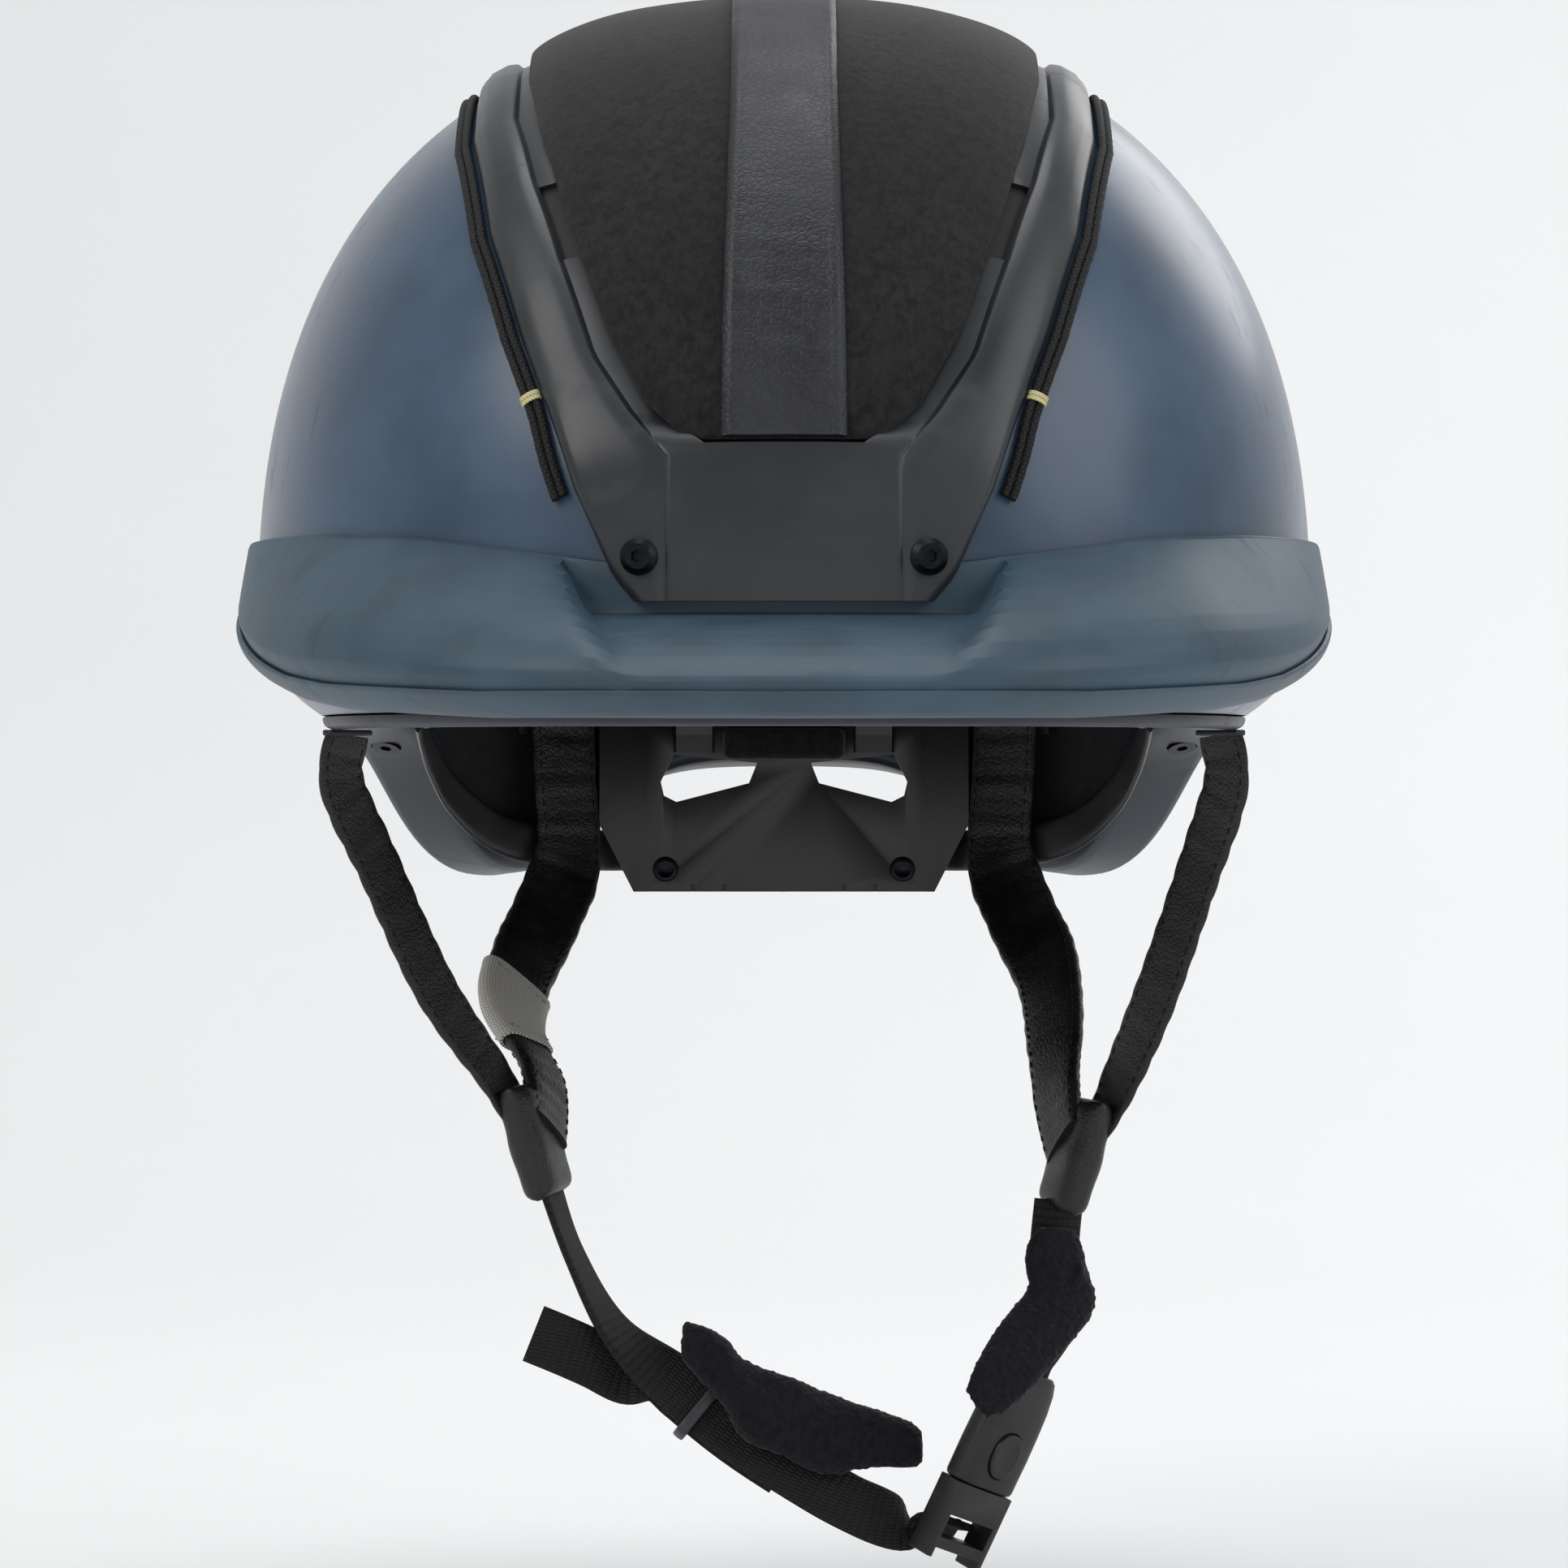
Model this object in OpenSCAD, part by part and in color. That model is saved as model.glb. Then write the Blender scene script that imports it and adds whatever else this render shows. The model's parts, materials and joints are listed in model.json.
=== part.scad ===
// Riding helmet: shell, liner, peak, vent cover, headring with dial and chin harness.
// Millimetres, +Z up, front towards -Y. The origin is the centre of the head opening at brow level.

/* [Shell] */
// Half the width of the outer shell at its widest plane
shell_half_w = 108.5; // [95:0.5:131]
// Half the length of the outer shell
shell_half_l = 131; // [108:1:158]
// Height of the crown above the widest plane
crown_h = 123; // [102:1:148]
// Height of the widest plane above the brow
waist_z = 20; // [16:1:25]
// Wall of the outer shell
shell_t = 1.8; // [1.4:0.1:2.6]
// Depth of the protective foam at the crown and sides
liner_t = 24; // [19:0.5:29]
// Height of the bottom shell below the outer shell's edge
rim_t = 3; // [2.4:0.1:4]
// Drop of the two lobes behind the ears
lobe_drop = 27; // [18:1:33]

/* [Peak] */
// How far the peak stands out from the shell at its middle
peak_reach = 50; // [38:1:62]
// Thickness of the peak's rim
peak_lip = 4.6; // [3.6:0.1:6]
// Wall of the peak
peak_t = 3; // [2.4:0.1:3.8]

/* [Frame and cover] */
// Thickness of the centre frame
frame_t = 2.6; // [2:0.1:3.4]
// Width of the leather strip
strip_w = 21; // [17:0.5:26]
// Thickness of the leather strip
strip_t = 1.2; // [1:0.1:1.6]
// Thickness of the fabric cover
cover_t = 1.2; // [0.9:0.1:1.6]
// Diameter of one elastic cord
cord_d = 1.7; // [1.3:0.1:2.1]

/* [Screws] */
// Diameter of a screw head
head_d = 7; // [5.8:0.1:8.4]
// Diameter of a screw shank
shank_d = 3; // [2.5:0.1:3.6]
// Width across the corners of a socket
socket_d = 2.6; // [2:0.1:3.2]

/* [Headring] */
// Width of the cradle plate
cradle_w = 82; // [68:1:98]
// Height of the cradle plate
cradle_h = 37; // [36:0.5:44]
// Thickness of the cradle plate
cradle_t = 2.4; // [1.8:0.1:3]
// Pitch radius of the dial's pinion
pinion_r = 4; // [4:0.1:4.2]
// Diameter of the dial knob
knob_d = 18.8; // [15.6:0.1:22.6]
// Depth of the dial knob
knob_t = 9; // [7.5:0.1:11]
// Radial clearance of the dial's axle
axle_gap = 0.05; // [0.02:0.01:0.1]
// Height of the headring bands
band_h = 9; // [7.5:0.5:11]
// Thickness of the headring bands
band_t = 1.4; // [1.1:0.1:1.7]

/* [Harness] */
// Width of the front straps
front_strap_w = 13; // [10.5:0.5:16]
// Width of the padded rear straps
rear_strap_w = 16; // [13:0.5:19]
// Thickness of the rear straps
rear_strap_t = 2.8; // [2.2:0.1:3.4]
// Width of the chin webbing
webbing_w = 12.5; // [10:0.5:13.5]
// Thickness of the webbing and of the front straps
webbing_t = 1.6; // [1.3:0.1:1.9]
// Width of the buckle's body
buckle_w = 17; // [16:0.5:21]
// Thickness of the buckle's body
buckle_t = 7.6; // [7.2:0.1:9.2]
// Length of the buckle's body
buckle_l = 26; // [22:0.5:32]
// Gap between soft pieces and their neighbours
soft_gap = 0.3; // [0.2:0.05:0.5]
// Gap between the buckle's sliding faces
slide_gap = 0.2; // [0.15:0.05:0.3]

/* [Hidden] */

// Fineness of round parts
round_fn = 48;
// How square the shell is: 2 would be an ellipsoid
square = 2.35;
// Middle of the shell behind the brow centre
shell_y = 3;
// Share of the shell's radius that the lower edge pulls in by, as a sine
edge_tuck = 0.475;
liner_tuck = 0.25;
// Rings and columns of the shell's surface
az_step = 6;
low_rows = [-1, -0.75, -0.5, -0.25];
dome_rows = [for (e = [0:6:84]) e];
rows = concat(low_rows, dome_rows);

// ---- Shared surface functions ----

function clamp01(t) = min(1, max(0, t));
function ease(t) = let (c = clamp01(t)) c * c * (3 - 2 * c);
function unit(v) = v / norm(v);
function mix(a, b, t) = a + (b - a) * t;
function sq(v, half) = pow(abs(v) / half, square);

// Azimuth away from the front, 0 to 180
function side_angle(az) = let (m = abs(az) % 360) m > 180 ? 360 - m : m;

// Height of the outer shell's lower edge: level at the front, down at the lobes, up at the nape
function edge_z(az) =
    let (s = side_angle(az), spread = s > 142 ? 17 : 20)
    1 - 7 * ease((s - 90) / 90) - lobe_drop * exp(-pow(abs(s - 142) / spread, 2.4));

// Radius of the widest outline, lifted off the shell's surface
function plan_r(az, lift) =
    pow(sq(sin(az), shell_half_w + lift) + sq(cos(az), shell_half_l + lift), -1 / square);

// Radius at height z, with the lower edge tucked in
function radius_at(az, z, lift, tuck = edge_tuck) =
    z >= waist_z
    ? plan_r(az, lift) * pow(max(0, 1 - sq(z - waist_z, crown_h + lift)), 1 / square)
    : plan_r(az, lift) * sqrt(1 - pow(tuck * (waist_z - z) / (waist_z - edge_z(az)), 2));

// Radius of the liner's inner face, whose lower edge lies a little above the shell's
function inner_r(az, z, lift) = z >= waist_z ? radius_at(az, z, lift)
    : plan_r(az, lift) * sqrt(1 - pow(liner_tuck * min(1, (waist_z - z)
        / (waist_z - edge_z(az) - rim_t)), 2));

function at(az, r, z) = [r * sin(az), shell_y - r * cos(az), z];

// A point of the dome: rows from -1 to 0 go from the edge to the waist, then it is an elevation
function dome_pt(az, row, lift, tuck, edge_rise = 0) =
    row < 0
    ? let (u = -row)
      at(az, plan_r(az, lift) * sqrt(1 - pow(tuck * u, 2)),
         mix(waist_z, edge_z(az) + edge_rise, u))
    : let (k = pow(sq(sin(az) * cos(row), shell_half_w + lift)
               + sq(cos(az) * cos(row), shell_half_l + lift)
               + sq(sin(row), crown_h + lift), -1 / square))
      at(az, k * cos(row), waist_z + k * sin(row));

// A point of the same surface from its angle over the crown, 0 front to 180 back, and its x
function over_pt(th, x, lift) =
    let (k = pow((1 - sq(x, shell_half_w + lift))
             / (sq(cos(th), shell_half_l + lift) + sq(sin(th), crown_h + lift)), 1 / square))
    [x, shell_y - k * cos(th), waist_z + k * sin(th)];

// Outward direction of the surface at a point
function grad1(v, half) = (v < 0 ? -1 : 1) * pow(abs(v) / half, square - 1) / half;
function outward(q) = unit([grad1(q.x, shell_half_w), grad1(q.y - shell_y, shell_half_l),
    grad1(q.z - waist_z, crown_h)]);

// Lays a child's Z axis along a direction
module along(q, dir) {
    d = unit(dir);
    translate(q) rotate([0, acos(d.z), atan2(d.y, d.x)]) children();
}

// Closed solid between two grids of points; cells where keep is false are left open
module grid_solid(outer, inner, keep) {
    n = len(outer);
    m = len(outer[0]);
    pts = concat([for (r = outer) for (q = r) q], [for (r = inner) for (q = r) q]);
    o = function(i, j) i * m + j;
    w = function(i, j) n * m + i * m + j;
    open = function(i, j) i < 0 || j < 0 || i > n - 2 || j > m - 2 || !keep[i][j];
    faces = [for (i = [0:n - 2]) for (j = [0:m - 2]) if (keep[i][j]) each concat(
        [[o(i, j), o(i + 1, j), o(i + 1, j + 1)], [o(i, j), o(i + 1, j + 1), o(i, j + 1)],
         [w(i, j), w(i + 1, j + 1), w(i + 1, j)], [w(i, j), w(i, j + 1), w(i + 1, j + 1)]],
        open(i - 1, j) ? [[o(i, j), o(i, j + 1), w(i, j + 1)],
                          [o(i, j), w(i, j + 1), w(i, j)]] : [],
        open(i + 1, j) ? [[o(i + 1, j + 1), o(i + 1, j), w(i + 1, j)],
                          [o(i + 1, j + 1), w(i + 1, j), w(i + 1, j + 1)]] : [],
        open(i, j - 1) ? [[o(i + 1, j), o(i, j), w(i, j)],
                          [o(i + 1, j), w(i, j), w(i + 1, j)]] : [],
        open(i, j + 1) ? [[o(i, j + 1), o(i + 1, j + 1), w(i + 1, j + 1)],
                          [o(i, j + 1), w(i + 1, j + 1), w(i, j + 1)]] : [])];
    polyhedron(pts, faces, convexity = 8);
}

// Dome between two lifts, open below, with vents where vent(az, row) is true
module dome(lift_out, lift_in, tuck_out, tuck_in, rise_in) {
    azs = [for (a = [3:az_step:357]) a];
    n = len(azs);
    m = len(rows);
    pole_out = [0, shell_y, waist_z + crown_h + lift_out];
    pole_in = [0, shell_y, waist_z + crown_h + lift_in];
    pts = concat(
        [for (a = azs) for (r = rows) dome_pt(a, r, lift_out, tuck_out)],
        [for (a = azs) for (r = rows) dome_pt(a, r, lift_in, tuck_in, rise_in)],
        [pole_out, pole_in]);
    o = function(i, j) (i % n) * m + j;
    w = function(i, j) n * m + (i % n) * m + j;
    solid = function(i, j) j >= 0 && j < m - 1
        && !is_vent(azs[(i + n) % n] + az_step / 2, rows[j] + 3);
    faces = concat(
        [for (i = [0:n - 1]) for (j = [0:m - 2]) if (solid(i, j)) each concat(
            [[o(i, j), o(i, j + 1), o(i + 1, j + 1)], [o(i, j), o(i + 1, j + 1), o(i + 1, j)],
             [w(i, j), w(i + 1, j + 1), w(i, j + 1)], [w(i, j), w(i + 1, j), w(i + 1, j + 1)]],
            !solid(i - 1, j) ? [[o(i, j + 1), o(i, j), w(i, j)],
                                [o(i, j + 1), w(i, j), w(i, j + 1)]] : [],
            !solid(i + 1, j) ? [[o(i + 1, j), o(i + 1, j + 1), w(i + 1, j + 1)],
                                [o(i + 1, j), w(i + 1, j + 1), w(i + 1, j)]] : [],
            !solid(i, j - 1) ? [[o(i, j), o(i + 1, j), w(i + 1, j)],
                                [o(i, j), w(i + 1, j), w(i, j)]] : [],
            (j < m - 2 && !solid(i, j + 1)) ? [[o(i + 1, j + 1), o(i, j + 1), w(i, j + 1)],
                                [o(i + 1, j + 1), w(i, j + 1), w(i + 1, j + 1)]] : [])],
        [for (i = [0:n - 1]) [o(i, m - 1), 2 * n * m, o(i + 1, m - 1)]],
        [for (i = [0:n - 1]) [w(i, m - 1), w(i + 1, m - 1), 2 * n * m + 1]]);
    polyhedron(pts, faces, convexity = 8);
}

// The four air vents lie under the fabric cover, two in front and two behind
vent_az = [3, 15];
vent_el = [24, 54];
function is_vent(az, el) =
    let (s = side_angle(az), t = min(s, 180 - s))
    t > vent_az[0] && t < vent_az[1] && el > vent_el[0] && el < vent_el[1];

// Smooth curve through points, with n steps between each two
function curve(p, n) = concat([for (i = [0:len(p) - 2]) for (k = [0:n - 1])
    let (a = p[max(0, i - 1)], b = p[i], c = p[i + 1], d = p[min(len(p) - 1, i + 2)], t = k / n)
    0.5 * (2 * b + (c - a) * t + (2 * a - 5 * b + 4 * c - d) * t * t
        + (3 * b - a - 3 * c + d) * t * t * t)], [p[len(p) - 1]]);

function tangent(p, i) = unit(p[min(len(p) - 1, i + 1)] - p[max(0, i - 1)]);
function square_to(v, t) = unit(v - (v * t) * t);

// Carries a flat outline along a path; wide gives the outline's x direction at each point
module sweep(path, wide, outline) {
    n = len(path);
    m = len(outline);
    pts = [for (i = [0:n - 1])
        let (t = tangent(path, i), x = square_to(wide[i], t), y = cross(t, x))
        for (q = outline) path[i] + x * q.x + y * q.y];
    faces = concat(
        [[for (j = [0:m - 1]) j]],
        [for (i = [0:n - 2]) for (j = [0:m - 1]) let (k = (j + 1) % m)
            each [[i * m + j, (i + 1) * m + j, (i + 1) * m + k],
                  [i * m + j, (i + 1) * m + k, i * m + k]]],
        [[for (j = [m - 1:-1:0]) (n - 1) * m + j]]);
    polyhedron(pts, faces, convexity = 6);
}

// Flat band with eased edges, as a cross-section
function band_outline(w, t) = let (e = min(t * 0.35, 0.8))
    [[w / 2 - e, -t / 2], [w / 2, -t / 2 + e], [w / 2, t / 2 - e], [w / 2 - e, t / 2],
     [-w / 2 + e, t / 2], [-w / 2, t / 2 - e], [-w / 2, -t / 2 + e], [-w / 2 + e, -t / 2]];

// A strap: points chosen by hand, each with its width direction
module strap(points, wides, w, t, steps = 4)
    sweep(curve(points, steps), curve(wides, steps), band_outline(w, t));
function all_wide(points, wide) = [for (q = points) wide];

// A point beside or above the middle of a strap that runs along a path
function on_strap(path, wides, i, beside, above) =
    let (t = tangent(path, i), x = square_to(wides[i], t))
    path[i] + x * beside + cross(t, x) * above;

// ---- Shell, liner and bottom shell ----

module outer_shell() color("#3e5570")
    dome(0, -shell_t, edge_tuck, edge_tuck, 0);

liner_out = -shell_t - soft_gap;
liner_in = -shell_t - liner_t;
// The inner lip of the bottom shell covers the liner's inner edge
lip_in = liner_in - 2 * soft_gap - 1.5;
lip_h = 6;

module eps_liner() color("#26262a")
    dome(liner_out, liner_in, edge_tuck, liner_tuck, rim_t);

// The bottom shell's wall is a bent strip carried round the helmet's lower edge
module bottom_shell() color("#2b3646") {
    azs = [for (a = [3:az_step:357]) a];
    n = len(azs);
    wall = 1.5;
    section = function(a) let (
        z = edge_z(a), ro = plan_r(a, 0) * sqrt(1 - edge_tuck * edge_tuck),
        ri = inner_r(a, z, lip_in), top = z + lip_h, rt = inner_r(a, top, lip_in), rise = 1)
        [[ro, z - soft_gap], [ro - 0.8, z - rim_t + 0.9], [ro - 2.6, z - rim_t],
         [ri + 3.4, z - rim_t + rise], [ri + 0.9, z - rim_t + rise + 0.8],
         [ri, z - rim_t + rise + 2.8], [rt, top], [rt + wall, top],
         [ri + wall, z - rim_t + rise + 3.2], [ri + 3.8, z - rim_t + rise + wall],
         [ro - 3, z - rim_t + wall], [ro - 1.6, z - soft_gap]];
    m = 12;
    pts = [for (a = azs) for (s = section(a)) at(a, s[0], s[1])];
    faces = [for (i = [0:n - 1]) for (j = [0:m - 1]) let (k = (j + 1) % m, l = (i + 1) % n)
        each [[i * m + j, l * m + k, l * m + j], [i * m + j, i * m + k, l * m + k]]];
    difference() {
        polyhedron(pts, faces, convexity = 8);
        rim_screw_places() translate([0, 0, -6]) cylinder(h = 9, d = head_d - 0.4, $fn = round_fn);
    }
}

// Screws that hold the bottom shell, one beside each ear
rim_screw_az = 113;
module rim_screw_places() for (s = [-1, 1]) {
    a = s * rim_screw_az;
    r = (radius_at(a, edge_z(a), 0) + plan_r(a, lip_in)) / 2;
    b = s * (rim_screw_az + 4);
    slope = (edge_z(b) - edge_z(a)) / (r * 4 * PI / 180);
    back = [s * cos(rim_screw_az), sin(rim_screw_az), slope];
    down = cross(back, [s * sin(rim_screw_az), -cos(rim_screw_az), 0]);
    along(at(a, r, edge_z(a) - rim_t + 0.6), down.z < 0 ? down : -down) children();
}

module rim_screws() color("#202024") rim_screw_places() difference() {
    union() {
        translate([0, 0, -0.9]) cylinder(h = 1.5, d = head_d - 0.9, $fn = round_fn);
        translate([0, 0, -10]) cylinder(h = 9.2, d = shank_d, $fn = round_fn);
    }
    translate([0, 0, -0.3]) cylinder(h = 2, d = socket_d, $fn = 6);
}

// ---- Peak ----

peak_end = 82;
peak_step = 4;
// Height of the line where the peak meets the shell, and of its rim's lower edge
peak_top_line = [[0, 27], [15, 29], [25, 32], [32, 34], [46, 35.5], [60, 36], [90, 36]];
peak_rim_line = [[0, -1], [20, -0.8], [36, 1.2], [44, 3.2], [52, 6.8], [60, 11], [70, 16.8], [90, 24]];
// Plan outline of the rim: a rounder superellipse about the shell's middle
peak_half_w = shell_half_w + 3.2;
peak_square = 2.6;
flange_h = 17;
// Under the frame's plate the slope starts lower, so the middle lies sunk between two ridges
ridge_az = 17;
ridge_low = 19;

// Both ends are rounded over their last few degrees
function peak_tip(az) = pow(clamp01((side_angle(az) - 68) / (peak_end + 1 - 68)), 2);
function peak_top(az) = lookup(side_angle(az), peak_top_line) - 7 * peak_tip(az);
function peak_slope(az) = side_angle(az) < ridge_az ? ridge_low : peak_top(az) - 0.6;
function peak_low(az) = min(lookup(side_angle(az), peak_rim_line), peak_top(az) - peak_lip - 2.5);
function peak_foot(az) = max(peak_top(az) - flange_h * (1 - 0.55 * peak_tip(az)), edge_z(az) + 5);
function peak_out(az) = pow(pow(abs(sin(az)) / peak_half_w, peak_square)
    + pow(abs(cos(az)) / (shell_half_l + peak_reach), peak_square), -1 / peak_square);
// How far the rim stands out; it closes to the flange at both ends
function peak_proj(az) = let (p = peak_out(az) - plan_r(az, 0),
    close = sqrt(max(0, 1 - pow(side_angle(az) / (peak_end + 1), 10))))
    max(peak_t + 0.8, p * close);

function peak_profile(az) = let (
    zt = peak_top(az), zs = peak_slope(az), zl = peak_low(az), zf = peak_foot(az),
    p = peak_proj(az), g = soft_gap + 0.1, f = g + 2,
    bulge = 2.5 * clamp01(p / 30),
    ramp = [0.2, 0.4, 0.6, 0.8, 0.97],
    top = [for (t = ramp) [mix(f, p, t), mix(zs, zl + peak_lip, t) + bulge * sin(180 * t)]],
    under = [for (i = [3:-1:0]) let (t = ramp[i])
        [mix(f, p, t) - 0.4, mix(zs - 1, zl + 1, t) + bulge * sin(180 * t) - peak_t]])
    concat([for (t = [0.75, 0.5, 0.25, 0]) [g, mix(zt, zf, t)]],
        [for (t = [0, 0.5, 1]) [f, mix(zt - 0.2, zs, t)]], top,
        [[p, zl + peak_lip - 0.7], [p, zl + 0.6], [p - 0.6, zl],
         [p - min(1.8, p * 0.4), zl]], under, [[f, min(zf + 1, zs - peak_t - 2)], [f, zf], [g, zf]]);

module peak() color("#46586a") difference() {
    azs = [for (a = [-peak_end:peak_step:peak_end]) a];
    n = len(azs);
    prof = [for (a = azs) peak_profile(a)];
    m = len(prof[0]);
    pts = [for (i = [0:n - 1]) for (q = prof[i])
        at(azs[i], radius_at(azs[i], q[1], 0) + q[0], q[1])];
    faces = concat([[for (j = [0:m - 1]) j]],
        [for (i = [0:n - 2]) for (j = [0:m - 1]) let (k = (j + 1) % m)
            each [[i * m + j, (i + 1) * m + j, (i + 1) * m + k],
                  [i * m + j, (i + 1) * m + k, i * m + k]]],
        [[for (j = [m - 1:-1:0]) (n - 1) * m + j]]);
    polyhedron(pts, faces, convexity = 8);
    frame_screw_places() translate([0, 0, -8]) cylinder(h = 16, d = shank_d + 0.6, $fn = round_fn);
}

// ---- Centre frame, cover and strip ----

// Each line is [angle over the crown, x]: the frame's outer edge, its ledge and its opening
frame_edge = [[0.5, 28], [2.5, 32], [5, 34.5], [10, 39.5], [17, 44.5], [24.5, 50], [36, 56.5],
    [52, 61], [90, 62], [125, 57], [145, 48], [158, 38], [164, 30]];
ledge_edge = [[12, 22], [16, 29], [21.5, 36.5], [31, 43], [40.5, 48.5], [52, 53], [90, 54.5],
    [125, 49], [140, 40], [150, 31], [164, 24]];
cover_edge = [[12.5, 15.8], [16.5, 25.6], [23, 33.5], [29, 37.8], [37, 42.8], [47, 47.5], [58, 50.5],
    [90, 51.5], [125, 46], [139, 36], [147, 22]];
// How far the cover laps over the frame's ledge
cover_lap = 2;
open_from = 13;
open_to = 147;
slot_from = 31;
slot_to = 40;

frame_rows = [0.5, 2.5, 5, 7.5, 10, 13, 15, 17, 20, 23, 27, 31, 35.5, 40, 46, 52, 60, 68, 76, 84,
    92, 100, 108, 116, 124, 132, 139, 143, 147, 151, 155, 160, 164];

// The lower plate stands over the peak's flange, the arms sit on the shell
function frame_base(th) = mix(2.4 + 2 * soft_gap, soft_gap, ease((th - 11) / 9));
function opening_x(th) = lookup(th, cover_edge) - cover_lap;

module centre_frame() color("#3a3c40") {
    ledge_drop = 1.4;
    ledge = function(th) th < open_from || th > open_to ? 0 : ledge_drop;
    cols = function(th) let (e = lookup(th, frame_edge), l = lookup(th, ledge_edge),
        x = opening_x(th), t = frame_base(th) + frame_t, d = ledge(th))
        [[e, t - 1.2], [e - 1.4, t], [(e + l) / 2, t + 0.2], [l, t], [l - 0.7, t - d],
         [x, t - d], [x / 2, t], [0, t]];
    both = function(c) concat([for (q = c) [-q[0], q[1]]], [for (i = [6:-1:0]) c[i]]);
    outer = [for (th = frame_rows) [for (q = both(cols(th))) over_pt(th, q[0], q[1])]];
    inner = [for (th = frame_rows) [for (q = both(cols(th)))
        over_pt(th, q[0], frame_base(th))]];
    keep = [for (i = [0:len(frame_rows) - 2])
        let (mid = (frame_rows[i] + frame_rows[i + 1]) / 2)
        [for (j = [0:13]) let (k = j < 7 ? j : 13 - j)
            !(k >= 5 && mid > open_from && mid < open_to)
            && !(k == 4 && mid > slot_from && mid < slot_to)]];
    grid_solid(outer, inner, keep);
}

// Two screws through the lower corners of the plate
frame_screw = [4, 27];
module frame_screw_places() for (s = [-1, 1]) {
    q = over_pt(frame_screw[0], s * frame_screw[1], frame_base(0) + frame_t + 0.3);
    along(q, outward(q)) children();
}

module frame_screws() color("#202024") frame_screw_places() difference() {
    union() {
        cylinder(h = 1.2, d = head_d, $fn = round_fn);
        translate([0, 0, 1.2]) cylinder(h = 0.9, d1 = head_d, d2 = head_d - 2.2, $fn = round_fn);
        translate([0, 0, -13]) cylinder(h = 13.2, d = shank_d, $fn = round_fn);
    }
    translate([0, 0, 0.8]) cylinder(h = 2, d = socket_d, $fn = 6);
}

cover_rows = [13.5, 15, 17, 20, 23, 27, 31, 37, 43, 50, 58, 68, 79, 90, 101, 112, 124, 132, 139,
    143, 146];
across = [-1, -0.93, -0.75, -0.5, -0.25, 0, 0.25, 0.5, 0.75, 0.93, 1];

// Crowned lift: full in the middle, falling to the edge and to both ends
function cover_lift(th, f, low, high) = mix(low, high,
    (1 - pow(abs(f), 5)) * ease((th - 13.2) / 5) * ease((146.5 - th) / 5));

module cover_panel(low, high, t, inset, slots) {
    grid = function(d) [for (th = cover_rows) [for (f = across)
        over_pt(th, f * (lookup(th, cover_edge) - inset), cover_lift(th, f, low, high) + d)]];
    keep = [for (i = [0:len(cover_rows) - 2]) [for (j = [0:len(across) - 2])
        !(slots && (j == 3 || j == 6) && (i % 5) > 1 && i > 3 && i < 17)]];
    grid_solid(grid(t), grid(0), keep);
}

carrier_base = frame_t - 1.4 + 2 * soft_gap;
carrier_t = 1.2;
cover_low = carrier_base + 0.1;
cover_high = 4.6;
cover_gap = carrier_t + soft_gap;

module cover_carrier() color("#1c1c1e") cover_panel(carrier_base, cover_high - cover_gap,
    carrier_t, cover_lap + 1.5, true);

module vent_cover() color("#303030")
    cover_panel(cover_low + cover_gap, cover_high, cover_t, 0, false);

module leather_strip() color("#33343c") {
    half = strip_w / 2;
    edge = [-1, -0.9, -0.5, 0, 0.5, 0.9, 1];
    thin = [0.5, 0.9, 1, 1, 1, 0.9, 0.5];
    lift = function(th, x) cover_lift(th, x / lookup(th, cover_edge),
        cover_low + cover_gap, cover_high) + cover_t + soft_gap;
    outer = [for (th = cover_rows) [for (i = [0:6])
        over_pt(th, half * edge[i], lift(th, half * edge[i]) + strip_t * thin[i])]];
    inner = [for (th = cover_rows) [for (i = [0:6])
        over_pt(th, half * edge[i], lift(th, half * edge[i]))]];
    grid_solid(outer, inner, [for (i = [1:len(cover_rows) - 1]) [for (j = [1:6]) true]]);
}

// Two elastic strands lie side by side in the groove outside each arm
cord_rows = [9.5, 10.5, 12, 14.5, 18.5, 24, 30, 36, 44, 52, 60, 70, 80, 90, 100, 110, 120, 130,
    138, 144, 148, 150];
function cord_x(th) = lookup(th, frame_edge) + cord_d + soft_gap + 0.35
    + 0.8 * ease((18 - th) / 6) + 0.6 * ease((th - 140) / 6);
function cord_lift(th) = cord_d / 2 + soft_gap;
cord_path = [for (th = cord_rows) over_pt(th, cord_x(th), cord_lift(th))];
function oval(w, h, n) = [for (i = [0:n - 1]) [w / 2 * cos(360 * i / n), -h / 2 * sin(360 * i / n)]];

module elastic_cord() sweep(cord_path, [for (i = [0:len(cord_path) - 1])
    cross(outward(cord_path[i]), tangent(cord_path, i))], oval(2 * cord_d, cord_d, 8));
module elastic_cord_right() color("#17171a") elastic_cord();
module elastic_cord_left() color("#17171a") mirror([1, 0, 0]) elastic_cord();

// Thread bound twice round the strands
module cord_whippings() color("#d8cfa0") for (s = [0, 1]) mirror([s, 0, 0]) {
    q = over_pt(18.5, cord_x(18.5), cord_lift(18.5));
    d = over_pt(19.5, cord_x(19.5), cord_lift(19.5)) - q;
    o = outward(q);
    x = unit(cross(o, d));
    multmatrix([[x.x, o.x, unit(d).x, q.x], [x.y, o.y, unit(d).y, q.y],
                [x.z, o.z, unit(d).z, q.z], [0, 0, 0, 1]])
        for (k = [-0.7, 0.3]) translate([0, 0, k]) linear_extrude(0.6) difference() {
            square([2 * cord_d + 0.5, cord_d + 0.5], center = true);
            square([2 * cord_d + 0.1, cord_d + 0.1], center = true);
        }
}

// ---- Comfort padding ----

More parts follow.
